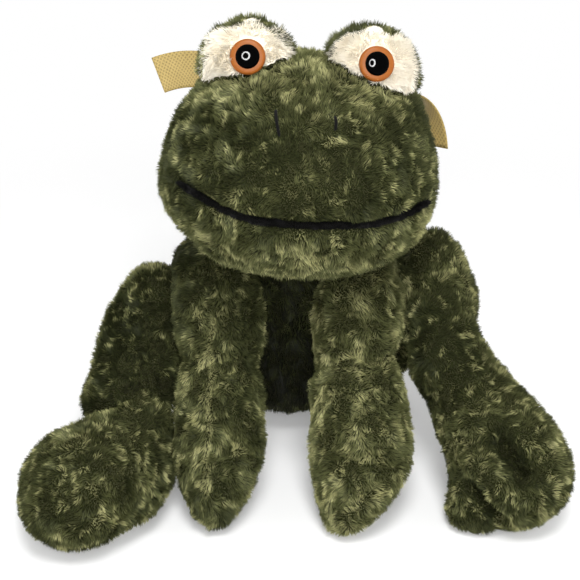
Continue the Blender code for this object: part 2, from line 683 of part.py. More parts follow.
def make_leg(side, torso, start, lean, arm):
    """A leg from its hip to the foot on the floor."""
    name = SIDE_NAMES[side]
    hip_place = start + lean * TORSO_LENGTH * HIP_ALONG_SHARE + X_AXIS * side * HIP_OUT
    thigh_aim = THIGH_AIMS[side].normalized()
    thigh_length = THIGH_LENGTH * THIGH_LENGTH_SHARES[side]
    shin_length = SHIN_LENGTH * SHIN_LENGTH_SHARES[side]
    knee_place = hip_place + thigh_aim * thigh_length
    shin_aim = SHIN_AIMS[side].normalized()
    ankle_place = knee_place + shin_aim * shin_length
    foot_aim = FOOT_AIMS[side].normalized()
    ankle_axis = foot_aim.cross(Z_AXIS).normalized()
    inward_share, forward_share = HEEL_SHARES[side]
    heel_shift = (ankle_axis * side * inward_share + foot_aim * forward_share) * FOOT_WIDTH
    thigh = limb(name + "_thigh", hip_place, thigh_aim, thigh_length, THIGH_WIDTH, THIGH_SHARES)
    shin = limb(name + "_shin", knee_place, shin_aim, shin_length, SHIN_WIDTH, SHIN_SHARES)

    def sole(drop):
        heel = Vector((*ankle_place.xy, FOOT_HEIGHT / 2 - drop)) + heel_shift
        stations = stations_along(heel, foot_aim, FOOT_WIDTH, FOOT_HEIGHT, FOOT_LENGTH, FOOT_SHARES)
        return Form(name + "_foot", stations)

    foot = settled(sole)
    for form in (thigh, shin, foot):
        form.make()
    hip = Joint(name + "_hip", hip_place, thigh_aim, HIP_RADIUS, HIP_RANGE, Z_AXIS * side)
    knee_axis = shin_aim.cross(thigh_aim).normalized()
    knee = Joint(name + "_knee", knee_place, shin_aim, KNEE_RADIUS, KNEE_RANGE, knee_axis)
    ankle = Joint(name + "_ankle", ankle_place, shin_aim, ANKLE_RADIUS, ANKLE_RANGE, ankle_axis)
    hip.connect(torso, thigh, beside=[(arm, Matrix())])
    turns = (KNEE_RANGE[0], sum(KNEE_RANGE) / 2, KNEE_RANGE[1])
    by_knee = [(form, knee.turned(turn)) for form in (torso, arm) for turn in turns]
    knee.connect(thigh, shin, beside=by_knee)
    beside = sorted((side * FOOT_INNER_LIMIT, 0))
    reach = TORSO_LENGTH + FOOT_LENGTH

    def hand_room(grow):
        margin = X_AXIS * grow
        return block(Vector((beside[0], -reach, -reach)) - margin, Vector((beside[1], 0, reach)) + margin)

    foot.press("hand_room", hand_room)
    ankle.connect(shin, foot)
    hip.carry(thigh.skin, thigh.stuffing, knee.empty)
    knee.carry(shin.skin, shin.stuffing, ankle.empty)
    ankle.carry(foot.skin, foot.stuffing)
    return foot


def main():
    """Clears the scene and makes the toy."""
    for old in list(bpy.data.objects):
        bpy.data.objects.remove(old)
    Toy.parts = new_collection("plush_frog")
    Toy.cutters = new_collection("cutters")
    torso, start, lean = make_torso()
    torso.make()
    torso.hollow()
    bag = make_pellet_bag(torso)
    neck_place = start + lean * TORSO_LENGTH
    head = make_head(neck_place)
    head.make()
    neck = Joint("neck", neck_place, lean, NECK_RADIUS, NOD_RANGE, X_AXIS)
    neck.connect(torso, head, 2 * GAP + RIBBON_THICKNESS)
    neck.carry(head.skin, head.stuffing)
    for side in (RIGHT, LEFT):
        neck.carry(*make_eye(side, head))
    neck.carry(*make_face(head))
    make_ribbon(torso, neck_place, lean)
    standing = [torso]
    for side in (RIGHT, LEFT):
        upper, lower = make_arm(side, torso, start, lean, head, neck)
        foot = make_leg(side, torso, start, lean, upper)
        standing.extend((lower, foot))
    reach = TORSO_LENGTH * 2
    floor = cutter("floor", block((-reach, -reach, -TORSO_LENGTH), (reach, reach, 0)))
    for form in standing:
        form.cut(floor)
    for side in (RIGHT, LEFT):
        boolean(bag, bpy.data.objects[SIDE_NAMES[side] + "_hip_socket"])


main()
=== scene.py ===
"""Looks of a seated plush frog: fleece skins grown with pile, glossy eyes, stitched face and a woven ribbon.

Metres, +Z up, facing -Y. Right and left are the toy's own sides, so its right is at -X.
"""

import functools
import json
import math

import bmesh
import bpy
import numpy as np
from bpy.props import FloatProperty, FloatVectorProperty, IntProperty, PointerProperty
from mathutils import Matrix, Vector
from mathutils.bvhtree import BVHTree
from mathutils.geometry import interpolate_bezier


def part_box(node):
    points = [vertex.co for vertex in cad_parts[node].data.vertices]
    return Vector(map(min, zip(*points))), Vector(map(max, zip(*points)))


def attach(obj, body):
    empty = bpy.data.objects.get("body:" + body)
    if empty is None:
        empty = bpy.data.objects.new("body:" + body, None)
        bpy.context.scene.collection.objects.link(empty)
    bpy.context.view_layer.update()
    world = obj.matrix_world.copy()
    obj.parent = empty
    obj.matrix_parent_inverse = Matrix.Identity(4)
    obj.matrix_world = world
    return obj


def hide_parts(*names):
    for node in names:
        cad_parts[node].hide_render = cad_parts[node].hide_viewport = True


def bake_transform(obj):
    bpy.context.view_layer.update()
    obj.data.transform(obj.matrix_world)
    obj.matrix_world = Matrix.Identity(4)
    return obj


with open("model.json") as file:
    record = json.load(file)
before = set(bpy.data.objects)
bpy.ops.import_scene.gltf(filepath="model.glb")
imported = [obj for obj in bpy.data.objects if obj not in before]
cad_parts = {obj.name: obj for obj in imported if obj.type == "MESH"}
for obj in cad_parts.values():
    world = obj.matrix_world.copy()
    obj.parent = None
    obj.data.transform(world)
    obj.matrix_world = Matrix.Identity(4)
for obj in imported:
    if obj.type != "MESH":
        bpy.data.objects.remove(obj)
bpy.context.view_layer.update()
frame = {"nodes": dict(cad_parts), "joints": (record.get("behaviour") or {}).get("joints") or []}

bl_info = {
    "name": "Plush Frog",
    "version": (1, 0, 0),
    "blender": (4, 5, 0),
    "location": "View3D > Sidebar > Plush Frog",
    "description": "Dresses the sewn forms of a plush frog in fleece, eyes, stitching and ribbon",
    "category": "Object",
}

SIDES = ("right", "left")
JOINTS = {joint["name"]: Vector(joint["pos_m"]) for joint in frame["joints"]}

# Camera, which the photograph's pixels are read through
IMAGE_SIZE = 580
SENSOR_WIDTH = 0.036
LENS_LENGTH = 0.0886
CAMERA_TARGET = Vector((0, -0.08, 0.14))
CAMERA_DISTANCE = 1.0
CAMERA_ELEVATION = math.radians(28)

# Light and floor: each lamp's place and size
LAMPS = {
    "key": (Vector((0.05, -0.85, 1.45)), 0.55),
    "front": (Vector((0.1, -1.4, 0.84)), 0.7),
    "fill_right": (Vector((-1.2, -0.4, 0.7)), 0.9),
    "fill_left": (Vector((1.2, -0.4, 0.7)), 0.9),
    "rear": (Vector((0, 1.1, 1.2)), 0.9),
}
RING_RADII = (0.215, 0.32)
RING_OFFSET = Vector((-0.18, 0, 0.20))
SKY = 0.30
FLOOR_SIZE = 6.0
SHADOW_FADE = (0.28, 0.62)  # distances between which the floor's shading gives way to plain white
PAPER_GLOW = 0.22

# Skins, the closed forms that carry the pile
VOXEL = 0.0025
PATCH_VOXEL = 0.0015
WELD = 1e-5
SKIN_SMOOTHINGS = 6
SKIN_TUCK = 0.0024  # how far the skin lies inside the sewn form, so that the pile ends where the toy does
HEAD_TUCK = SKIN_TUCK + 0.0008
CLEARANCE = 0.0006  # least room between two skins for pile to stand in
FLOOR_ROOM = 0.0006
BENDS = {"elbow": 0.030, "knee": 0.031, "ankle": 0.031}  # balls that round a skin out where it bends
PLUGS = {"neck": 0.034, "shoulder": 0.027}  # balls that close the seat of a seam
ARM_BEND_REACH = 0.018
LEG_BEND_REACH = 0.02

# Head: how its crown narrows, and the heights and fades of chin, brow and muzzle
CROWN_NARROWING = 0.045
# The chin's and the brow's tones are painted light, the muzzle's tone is painted shade
CHIN_DROP, CHIN_FADE, CHIN_PAINTED_LIGHT = 0.004, 0.012, 0.20
BROW_DEPTH, BROW_FADE, BROW_PAINTED_LIGHT = 0.034, 0.020, 0.34
MUZZLE_RISE, MUZZLE_WIDTH, MUZZLE_PAINTED_SHADE = 0.028, 0.022, 0.10
MUZZLE_TRIM = 0.18

# Hands, which taper to the tip that they rest on
HAND_TIP_PIXELS = {"right": (214, 526), "left": (341, 534)}
HAND_TIP_HEIGHT = 0.008
HAND_TAPER_HEIGHT = 0.062
HAND_TAPER = 0.34
HAND_REACH = 0.012
# Painted light: the left arm's pile is made paler where it lies in shade
ARM_PAINTED_LIGHT = {"right": 0.0, "left": 0.24}

# Legs' skins: the bodies they cover, the joint they bend over and the balls that close their seats
LEG_PIECES = {
    "right_leg": (("thigh", "shin"), "knee", (("hip", 0.031), ("ankle", 0.030))),
    "right_foot": (("foot",), None, (("ankle", 0.0275),)),
    "left_thigh": (("thigh",), None, (("hip", 0.031), ("knee", 0.029))),
    "left_lower_leg": (("shin", "foot"), "ankle", ()),
}

# Eyes: part, fleece, tuck, voxel, length and tufts of the soft ones
EYE_PIECES = (
    ("eye_mound", "green", 0.0010, VOXEL, 1.2, 1.0),
    ("eye_patch", "cream", 0.0016, PATCH_VOXEL, 1.0, 0.4),
)
EYE_CLEARING, EYE_FADE = 0.0085, 0.0035  # radius without pile, and how far on the pile is at its full length
PATCH_DRAW = 0.88
PATCH_LIFT = 0.0008
PUPIL_RADIUS = 0.0076
PUPIL_SEAT = 0.0006
IRIS_HOLLOW = 0.0002
IRIS_ROUNDING, IRIS_DROP, IRIS_DEPTH = 0.0022, 0.0020, 0.0030
STEM_RADIUS, STEM_DEPTH = 0.0025, 0.012
EYE_SEGMENTS = 64
AMBER_DARK = 0.72  # share of the amber that its darkest clouds have

# Stitching, with its line across the face in the photograph's pixels
MOUTH_PIXELS = ((178, 181), (203, 198), (229, 211), (252, 219), (274, 223), (298, 225.5), (322, 226),
                (346, 225.5), (370, 224), (389, 219.5), (407, 213), (418, 207), (427, 201))
NOSTRIL_PIXELS = {
    "right": ((276, 112), (276.5, 120), (278, 129), (279.5, 137)),
    "left": ((334, 119), (334.2, 125), (334.5, 131)),
}
NOSTRIL_LIFT, NOSTRIL_ARCH = 0.0005, 0.0048
NOSTRIL_STEPS, NOSTRIL_SEGMENTS = 14, 8
MOUTH_STEPS, MOUTH_SEGMENTS = 160, 14
YARN_LIFT = 0.62  # share of its width that the yarn's middle stands off the skin
YARN_FLATNESS = 0.8
YARN_TWIST, YARN_PLY = 0.75, 0.055
YARN_PALE = 2.2
TUBE_TAPER, TUBE_END = 12, 0.04

# Ribbon tails, from the knot: where each curve turns, in metres, and how its width lies
TAIL_TURNS = {
    "right": ((-0.0355, 0.0224, 0.0580), (-0.0655, 0.0150, 0.0673), (-0.0954, 0.0075, 0.0580)),
    "left": ((0.0449, 0.0262, 0.0580), (0.1029, 0.0094, 0.0711), (0.1060, 0.0, 0.0060)),
}
TAIL_LIES = {"right": Vector((0.33, -0.44, -0.83)), "left": Vector((-0.55, 0.75, 0.30))}
TAIL_STEPS = 60
TAIL_THREADS = 12
TAIL_GATHER = 0.5
TAIL_OPENING = 0.8
RIPPLE, RIPPLE_FADE, CUP = 0.0016, 1.2, 0.0012
RIPPLE_ACROSS, RIPPLE_ALONG = 3.0, 9
GOLD_TONES = (0.42, 1.12)  # shares of the gold in the dark and the pale threads
WEAVE_TURN = math.radians(40)
RIBBON_THICKNESS = 0.0005
BAND_RADIUS = 0.03
BAND_SMOOTHINGS = 4

# Where the pile is combed away from, as seen from the head's middle, the neck, the hip, the eye and the yarn,
# and how far above the shoulder, along the arm
HEAD_COMB, TORSO_COMB, LEG_COMB = (0, -0.030, 0), (0, 0, 0.05), (0, 0, -0.03)
EYE_COMB, YARN_COMB = (0, 0.015, 0), (0, 0.05, 0)
ARM_COMB = 0.06

# What the photograph shows on each skin, in the order in which it is pressed in. A bulge or dent has its
# pixel, radius, height and tone. A line has its pixels, width, depth, tone, how far it parts the pile and how
# much of the pile's length it takes.
MARKS = {
    "head": (
        # The mouth's groove, with painted shade darkening the pile along it
        (MOUTH_PIXELS, 0.0045, 0.0045, -0.25, 0.4, 0.75),
        (NOSTRIL_PIXELS["right"], 0.0032, 0.0, 0.10, 0.0, 0.85),
        (NOSTRIL_PIXELS["left"], 0.0032, 0.0, 0.10, 0.0, 0.85),
        (((305, 164), (304, 178), (303, 194), (302, 212)), 0.0018, 0.0, 0.32, 0.5),
        # Painted light: paler pile along the lower edges of the eye patches, lifting the shade in the crevice
        # there
        (((203, 81), (222, 81), (240, 79), (262, 74), (280, 65), (294, 55)), 0.0045, -0.0016, 0.30),
        (((333, 58), (341, 70), (354, 80), (372, 90), (390, 95), (408, 97)), 0.0045, -0.0016, 0.30),
        ((300, 256), 0.022, 0.0015, 0.0),
        ((230, 175), 0.020, 0.0015, 0.0),
        ((372, 178), 0.020, 0.0015, 0.0),
        ((305, 150), 0.010, -0.0015, -0.05),
        ((414, 104), 0.012, 0.0045, 0.0),
        ((286, 190), 0.005, 0.0, 0.45),
        ((244, 165), 0.005, 0.0, 0.35),
        ((177, 238), 0.014, -0.0060, 0.0),
    ),
    # Painted shade: the belly between the arms, under the head, is darkened almost to black
    "torso": (((286, 320), 0.055, 0.0, -1.5), ((286, 385), 0.045, 0.0, -1.3)),
    "right_arm": (
        # Shoulder, with painted shade where it tucks under the head
        ((188, 252), 0.024, 0.0105, -0.35),
        (((212, 318), (211, 345), (210, 372), (209, 400), (208, 430), (207, 460), (206, 490), (205, 528)),
         0.0020, 0.0022, 0.95, 0.9, 0.35),
        # Elbow crease, with painted shade in it
        (((176, 358), (190, 361), (210, 364), (236, 366), (262, 366)), 0.0070, 0.0040, -0.1),
    ),
    # Elbow crease, with painted shade in it
    "left_arm": ((((310, 368), (326, 366), (348, 362), (372, 358), (394, 354)), 0.0070, 0.0040, -0.1),),
    "right_leg": (
        ((118, 284), 0.014, -0.0060, 0.0),
        ((168, 385), 0.022, 0.0100, -0.1),
        # Painted shade on the shin, which lies further back from the light
        ((135, 330), 0.034, 0.0, -0.70),
        ((140, 384), 0.022, 0.0, -0.55),
        (((150, 268), (134, 282), (120, 297), (110, 318), (103, 342), (97, 368), (91, 395)),
         0.0032, -0.0018, 0.50, 0.6),
        # Painted shade on the shin just above the foot's edge
        (((84, 410), (104, 402), (136, 388), (168, 382)), 0.0050, 0.0, -0.6),
    ),
    "right_foot": (
        ((24, 480), 0.022, -0.0050, 0.1),
        ((150, 505), 0.020, 0.0080, 0.0),
        ((163, 440), 0.018, 0.0060, -0.3),
        ((168, 472), 0.014, 0.0040, -0.2),
        ((148, 412), 0.016, 0.0070, 0.0),
        ((70, 440), 0.014, 0.0, 0.40),
        ((110, 470), 0.020, 0.0, -0.15),
        # Edge of the foot below the shin, with painted light on the foot along it
        (((84, 425), (104, 418), (136, 405), (168, 400)), 0.0045, -0.0015, 0.30, 0.4),
    ),
    # The thigh's top behind the head, with painted shade
    "left_thigh": (((441, 229), 0.019, 0.0100, -0.3), ((468, 243), 0.016, -0.0055, 0.0)),
    "left_lower_leg": (
        ((460, 515), 0.016, 0.0170, 0.0),
        ((444, 240), 0.014, 0.0060, 0.0),
        ((482, 328), 0.015, -0.0085, 0.0),
        # Painted shade on the inner leg
        ((440, 340), 0.030, 0.0, -0.25),
        ((553, 470), 0.014, 0.0020, 0.25),
        ((540, 425), 0.014, 0.0015, 0.15),
        ((480, 460), 0.016, 0.0020, 0.20),
        # Painted shade on the inner leg
        ((420, 380), 0.030, 0.0, -0.25),
        (((432, 232), (444, 240), (455, 256), (463, 277), (467, 300), (466, 325)),
         0.0032, -0.0018, 0.50, 0.6),
        # Folds of the foot, with painted shade in them
        (((497, 441), (507, 452), (519, 463), (532, 478)), 0.0100, 0.0240, -1.3, 0.0, 0.6),
        (((470, 488), (478, 499), (487, 510), (497, 521)), 0.0065, 0.0200, -1.2, 0.0, 0.6),
    ),
    "right_eye_patch": (
        ((219, 34), 0.0065, 0.0016),
        ((282, 30), 0.0070, 0.0024),
        ((254, 20), 0.0060, -0.0020),
    ),
    "left_eye_patch": (
        ((347, 42), 0.0065, 0.0016),
        ((402, 44), 0.0070, 0.0022),
        ((376, 30), 0.0060, -0.0020),
    ),
}

# Pile, whose noises are given as cycles in a metre
PILE_SHEENS = {"green": 0.25, "cream": 0.2, "yarn": 0.0}
PILE_INPUTS = ("Density", "Length", "Width", "Lean", "Swirl", "Ruffle", "Tufts", "Seed")
COAT_STORES = ("comb", "share", "tone_base", "cover")
# The deepest share paints shade at the roots of the yarn's fuzz
YARN_TONES = (0.3, 0.6, 1, 4)  # shares of charcoal from the deepest fibres to the tips
SWIRL_SCALE = 62.0
RUFFLE_SCALE = 190.0
PATCH_SCALE = 52.0
TUFT_SCALE = 165.0
TUFT_STRETCH = (1.0, 1.0, 0.55)  # makes the tufts taller than wide
PATCH_TONE = (0.44, 0.68, 0.0, 0.42)
TUFT_TONE = (0.54, 0.66, 0.0, 0.75)
# Painted sheen: strands that lie over, far from standing up, are made paler, as if their sides caught the
# light
LAID_SHEEN_TONE = (0.95, 0.35, 0.0, 0.30)
STRAY_TONE = (-0.08, 0.18)
STRAY_TURN = 0.16
STRAY_LENGTH = (0.82, 1.08)
STRAY_WIDTH = (0.75, 1.2)
UNEVEN_LENGTH = (0.35, 0.65, 0.68, 1.12)
LEAST_SHARE = 0.12  # of its length, below which a strand is left out
LEAST_UP = 0.38  # cosine between a strand and the skin's normal
LEAST_TOGETHER = 0.6  # share of its length that pile keeps where two skins of one body meet
ROOM_SHARE = 0.8  # how much of the room in front of it a strand takes up
THIN_BELOW = 0.55  # share of the strands that the underside does without
THIN_BEHIND = 0.25
# Tones below zero, which paint shade, darken the pile towards this share of the deep colour
NIGHT = 0.35  # share of the deep colour that the darkest pile has
# Below this share of its height a strand is darkened towards the deep colour, painted shade of the pile's
# depths
FULL_LIGHT = 0.75  # share of the height at which a strand has its full colour
PALETTE_MARGIN = 0.04
PALETTE_STEP = 0.004


class FleeceSettings(bpy.types.PropertyGroup):
    """Pile and colours of the green fleece."""

    length: FloatProperty(
        name="Pile length", description="From the backing to the tip", default=0.0054, unit="LENGTH"
    )
    width: FloatProperty(
        name="Strand width", description="Of a lock of fibres at its root", default=0.00088, unit="LENGTH"
    )
    density: FloatProperty(
        name="Strands per square metre", description="Locks of fibres on the backing", default=1.25e6
    )
    lean: FloatProperty(
        name="Lean", description="How far the pile is combed over, against its height", default=0.55
    )
    swirl: FloatProperty(
        name="Swirl", description="How strongly the pile turns in whorls, against its height", default=4.5
    )
    ruffle: FloatProperty(
        name="Ruffle", description="How strongly small locks are ruffled, against its height", default=2.6
    )
    # Painted shade: the roots and the backing darken to this colour, for the shade down in the pile
    deep: FloatVectorProperty(
        name="Deep", description="Colour down in the pile", subtype="COLOR", default=(0.010, 0.0115, 0.0042)
    )
    shade: FloatVectorProperty(
        name="Shade", description="Colour of the dark fibres", subtype="COLOR", default=(0.042, 0.049, 0.0155)
    )
    body: FloatVectorProperty(
        name="Body", description="Colour of the fibres", subtype="COLOR", default=(0.158, 0.168, 0.062)
    )
    tip: FloatVectorProperty(
        name="Tip", description="Colour of the palest tips", subtype="COLOR", default=(0.52, 0.51, 0.235)
    )


class CreamSettings(bpy.types.PropertyGroup):
    """Pile and colours of the cream fleece round the eyes."""

    length: FloatProperty(
        name="Pile length", description="From the backing to the tip", default=0.0064, unit="LENGTH"
    )
    # Painted shade: the roots and the backing darken to this colour, for the shade down in the pile
    deep: FloatVectorProperty(
        name="Deep", description="Colour down in the pile", subtype="COLOR", default=(0.92, 0.85, 0.72)
    )
    shade: FloatVectorProperty(
        name="Shade", description="Colour of the dark fibres", subtype="COLOR", default=(0.94, 0.885, 0.765)
    )
    body: FloatVectorProperty(
        name="Body", description="Colour of the fibres", subtype="COLOR", default=(0.96, 0.915, 0.80)
    )
    tip: FloatVectorProperty(
        name="Tip", description="Colour of the palest tips", subtype="COLOR", default=(0.975, 0.94, 0.84)
    )


class TrimSettings(bpy.types.PropertyGroup):
    """Sizes and colours of the eyes, stitching and ribbon."""

    yarn: FloatProperty(name="Mouth yarn", description="Its width", default=0.0039, unit="LENGTH")
    fuzz: FloatProperty(name="Fuzz", description="Length of the yarn's fibres", default=0.0015, unit="LENGTH")
    thread: FloatProperty(name="Nostril thread", description="Its width", default=0.0019, unit="LENGTH")
    ribbon_width: FloatProperty(
        name="Ribbon width", description="Across the flat", default=0.027, unit="LENGTH"
    )
    ribbon_weave: FloatProperty(
        name="Weave", description="Between two threads", default=0.0024, unit="LENGTH"
    )
    charcoal: FloatVectorProperty(
        name="Charcoal", description="Colour of the stitching", subtype="COLOR",
        default=(0.0042, 0.0040, 0.0038),
    )
    amber: FloatVectorProperty(
        name="Amber", description="Colour of the iris", subtype="COLOR", default=(0.37, 0.108, 0.014)
    )
    gold: FloatVectorProperty(
        name="Gold", description="Colour of the ribbon", subtype="COLOR", default=(0.50, 0.365, 0.125)
    )


class StageSettings(bpy.types.PropertyGroup):
    """Light and floor."""

    key: FloatProperty(
        name="Key", description="Power of the light above the camera", default=15.0, unit="POWER"
    )
    front: FloatProperty(
        name="Front", description="Power of the light at the camera", default=9.5, unit="POWER"
    )
    fill: FloatProperty(name="Fill", description="Power of each side light", default=3.0, unit="POWER")
    ring: FloatProperty(name="Ring", description="Strength of the ring that the pupils show", default=360.0)
    seed: IntProperty(name="Seed", description="Of the pile's random places", default=7)


def settings(name):
    """One group of the toy's settings."""
    return getattr(bpy.context.scene, "plush_frog_" + name)


def new_object(name, data, place=(0, 0, 0)):
    """An object of the scene that holds some data."""
    made = bpy.data.objects.new(name, data)
    made.location = place
    bpy.context.scene.collection.objects.link(made)
    return made


def from_bmesh(name, shape, smooth=True):
    """An object made of a bmesh, which is freed."""
    mesh = bpy.data.meshes.new(name)
    shape.to_mesh(mesh)
    shape.free()
    mesh.polygons.foreach_set("use_smooth", [smooth] * len(mesh.polygons))
    return new_object(name, mesh)


def welded(*nodes):
    """The solids of some nodes as one bmesh, with each point there once."""
    shape = bmesh.new()
    for name in nodes:
        shape.from_mesh(frame["nodes"][name].data)
    bmesh.ops.remove_doubles(shape, verts=shape.verts[:], dist=WELD)
    return shape


def soften(shape, times):
    """Smooths a bmesh."""
    for _ in range(times):
        bmesh.ops.smooth_vert(
            shape, verts=shape.verts[:], factor=0.5, use_axis_x=True, use_axis_y=True, use_axis_z=True
        )


def evaluated(source):
    """Applies an object's modifiers."""
    bpy.context.view_layer.update()
    graph = bpy.context.evaluated_depsgraph_get()
    mesh = bpy.data.meshes.new_from_object(source.evaluated_get(graph), depsgraph=graph)
    source.modifiers.clear()
    source.data = mesh
    mesh.name = source.name


def read(items, key):
    """A vector of each of a mesh's items, as an array."""
    values = np.empty(len(items) * 3, np.float32)
    items.foreach_get(key, values)
    return values.reshape(-1, 3).astype(float)


def points_of(mesh):
    """The places of a mesh's points."""
    return read(mesh.vertices, "co")


def normals_of(mesh):
    """The normals at a mesh's points."""
    return read(mesh.vertex_normals, "vector")


def put_points(mesh, places):
    """Moves a mesh's points."""
    mesh.vertices.foreach_set("co", places.astype(np.float32).ravel())
    mesh.update()


def store(mesh, name, values):
    """Stores a number or a vector at each point."""
    kind, key = ("FLOAT_VECTOR", "vector") if values.ndim == 2 else ("FLOAT", "value")
    mesh.attributes.new(name, kind, "POINT").data.foreach_set(key, values.astype(np.float32).ravel())


def unit(vectors):
    """Vectors brought to length one."""
    return vectors / np.maximum(np.linalg.norm(vectors, axis=-1, keepdims=True), 1e-9)


def centre_of(name):
    """The middle of a node's box."""
    low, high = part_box(name)
    return (low + high) / 2


class Graph:
    """A tree of shader or geometry nodes that is added to."""

    def __init__(self, tree):
        self.tree = tree

    def node(self, kind, inputs=None, **options):
        """A node with its options and inputs, where an input is a value or another socket."""
        made = self.tree.nodes.new(kind)
        for name, value in options.items():
            setattr(made, name, value)
        for key, value in (inputs or {}).items():
            self.put(value, made.inputs[key])
        return made

    def put(self, value, socket):
        """Gives an input a value or another socket."""
        if isinstance(value, bpy.types.NodeSocket):
            self.tree.links.new(value, socket)
        else:
            socket.default_value = value

    def maths(self, operation, *values):
        """A Math node's result."""
        return self.node("ShaderNodeMath", dict(enumerate(values)), operation=operation).outputs[0]

    def times(self, *values):
        """The product of some numbers."""
        return functools.reduce(lambda a, b: self.maths("MULTIPLY", a, b), values)

    def plus(self, *values):
        """The sum of some numbers."""
        return functools.reduce(lambda a, b: self.maths("ADD", a, b), values)

    def vector(self, operation, *values):
        """A Vector Math node's result."""
        keys = (0, "Scale") if operation == "SCALE" else range(3)
        made = self.node("ShaderNodeVectorMath", dict(zip(keys, values)), operation=operation)
        return made.outputs["Value" if operation in ("LENGTH", "DOT_PRODUCT") else "Vector"]

    def apart(self, vector):
        """A vector's X, Y and Z."""
        return self.node("ShaderNodeSeparateXYZ", {0: vector}).outputs

    def joined(self, *parts):
        """A vector of X, Y and Z."""
        return self.node("ShaderNodeCombineXYZ", dict(enumerate(parts))).outputs[0]

    def noise(self, place, scale, detail=2.0):
        """A noise's number and colour."""
        return self.node("ShaderNodeTexNoise", {"Vector": place, "Scale": scale, "Detail": detail}).outputs

    def ranged(self, value, low=0.0, high=1.0, to_low=0.0, to_high=1.0, **options):
        """A number brought from one range to another and held in it."""
        inputs = {"Value": value, "From Min": low, "From Max": high, "To Min": to_low, "To Max": to_high}
        return self.node("ShaderNodeMapRange", inputs, **options).outputs[0]

    def between(self, share, first, second):
        """A number between two."""
        return self.node("ShaderNodeMix", {0: share, 2: first, 3: second}, data_type="FLOAT").outputs[0]

    def mix(self, share, first, second):
        """A colour between two, each given or another node's."""
        first, second = (
            end if isinstance(end, bpy.types.NodeSocket) else (*end, 1) for end in (first, second)
        )
        return self.node("ShaderNodeMix", {0: share, 6: first, 7: second}, data_type="RGBA").outputs[2]

    def seen(self):
        """Whether a ray comes straight or by gloss or glass from the eye."""
        path = self.node("ShaderNodeLightPath").outputs
        direct = self.maths("MAXIMUM", path["Is Camera Ray"], path["Is Transmission Ray"])
        return self.maths("MAXIMUM", direct, path["Is Glossy Ray"])

    def stored(self, geometry, name, value, kind="FLOAT", domain="POINT"):
        """Geometry with a value stored on it."""
        inputs = {"Geometry": geometry, "Name": name, "Value": value}
        return self.node("GeometryNodeStoreNamedAttribute", inputs, data_type=kind, domain=domain).outputs[0]


class Surface(Graph):
    """A material's tree, with constant numbers set on its Principled shader's own sockets."""

    def __init__(self, name, roughness, **constants):
        self.material = bpy.data.materials.new(name)
        self.material.use_nodes = True
        super().__init__(self.material.node_tree)
        self.shader = self.tree.nodes["Principled BSDF"].inputs
        for key, value in {"roughness": roughness, **constants}.items():
            self.shader[key.replace("_", " ").title().replace("Ior", "IOR")].default_value = value

    def place(self):
        """The place on the object."""
        return self.node("ShaderNodeTexCoord").outputs["Object"]

    def bump(self, height, strength, distance):
        """Raises the surface a little."""
        raised = self.node("ShaderNodeBump", {"Height": height, "Strength": strength, "Distance": distance})
        self.put(raised.outputs["Normal"], self.shader["Normal"])


def mottled(name, roughness, scale, detail, dark, light, bump=None, **constants):
    """A material that a fine noise mottles between two colours, and raises a little."""
    made = Surface(name, roughness, **constants)
    cloud = made.noise(made.place(), scale, detail)["Fac"]
    made.put(made.mix(cloud, dark, light), made.shader["Base Color"])
    if bump:
        made.bump(cloud, *bump)
    return made.material


def pile_material(name, deep, shade, body, tip, sheen):
    """Fibres that go from a root darkened with painted shade to a pale tip, paler where their tone is."""
    made = Surface(
        name, 0.62, specular_ior_level=0.2, sheen_weight=sheen, sheen_roughness=0.35, sheen_tint=(*tip, 1)
    )
    tone, rise = (
        made.node("ShaderNodeAttribute", attribute_name=key).outputs["Fac"] for key in ("tone", "rise")
    )
    # Tones below zero paint shade, down to the night share of the deep colour
    fibre = made.mix(made.ranged(tone, -1.0, 0.0), [x * NIGHT for x in deep], shade)
    fibre = made.mix(made.ranged(tone, 0.0, 0.5), fibre, body)
    fibre = made.mix(made.ranged(tone, 0.5, 1.0), fibre, tip)
    # Painted shade: each strand darkens from its colour down to the deep colour at its root
    made.put(made.mix(made.ranged(rise, 0.0, FULL_LIGHT), deep, fibre), made.shader["Base Color"])
    return made.material


def fleece_material(name):
    """The pile, knitted backing or fuzz of a kind of fleece or of the yarn, made when first asked for."""
    if name in bpy.data.materials:
        return bpy.data.materials[name]
    kind, layer = name.split("_")
    if kind == "yarn":
        colours = [[x * share for x in settings("trim").charcoal] for share in YARN_TONES]
    else:
        group = settings("cream" if kind == "cream" else "fleece")
        colours = [group.deep, group.shade, group.body, group.tip]
    if layer == "pile":
        return pile_material(name, *colours, PILE_SHEENS[kind])
    # The backing is mottled up from the deep colour, painted shade of the pile's depths
    light = colours[2 if kind == "cream" else 1]
    return mottled(name, 0.95, 700.0, 2.0, colours[0], light, (0.5, 0.0006), specular_ior_level=0.1)


def pupil_material():
    """Black plastic, polished a little unevenly."""
    made = Surface("black_plastic", 0.04, specular_ior_level=0.03, base_color=(0.001, 0.001, 0.0012, 1))
    dust = made.noise(made.place(), 900.0)["Fac"]
    made.put(made.ranged(dust, to_low=0.03, to_high=0.07), made.shader["Roughness"])
    return made.material


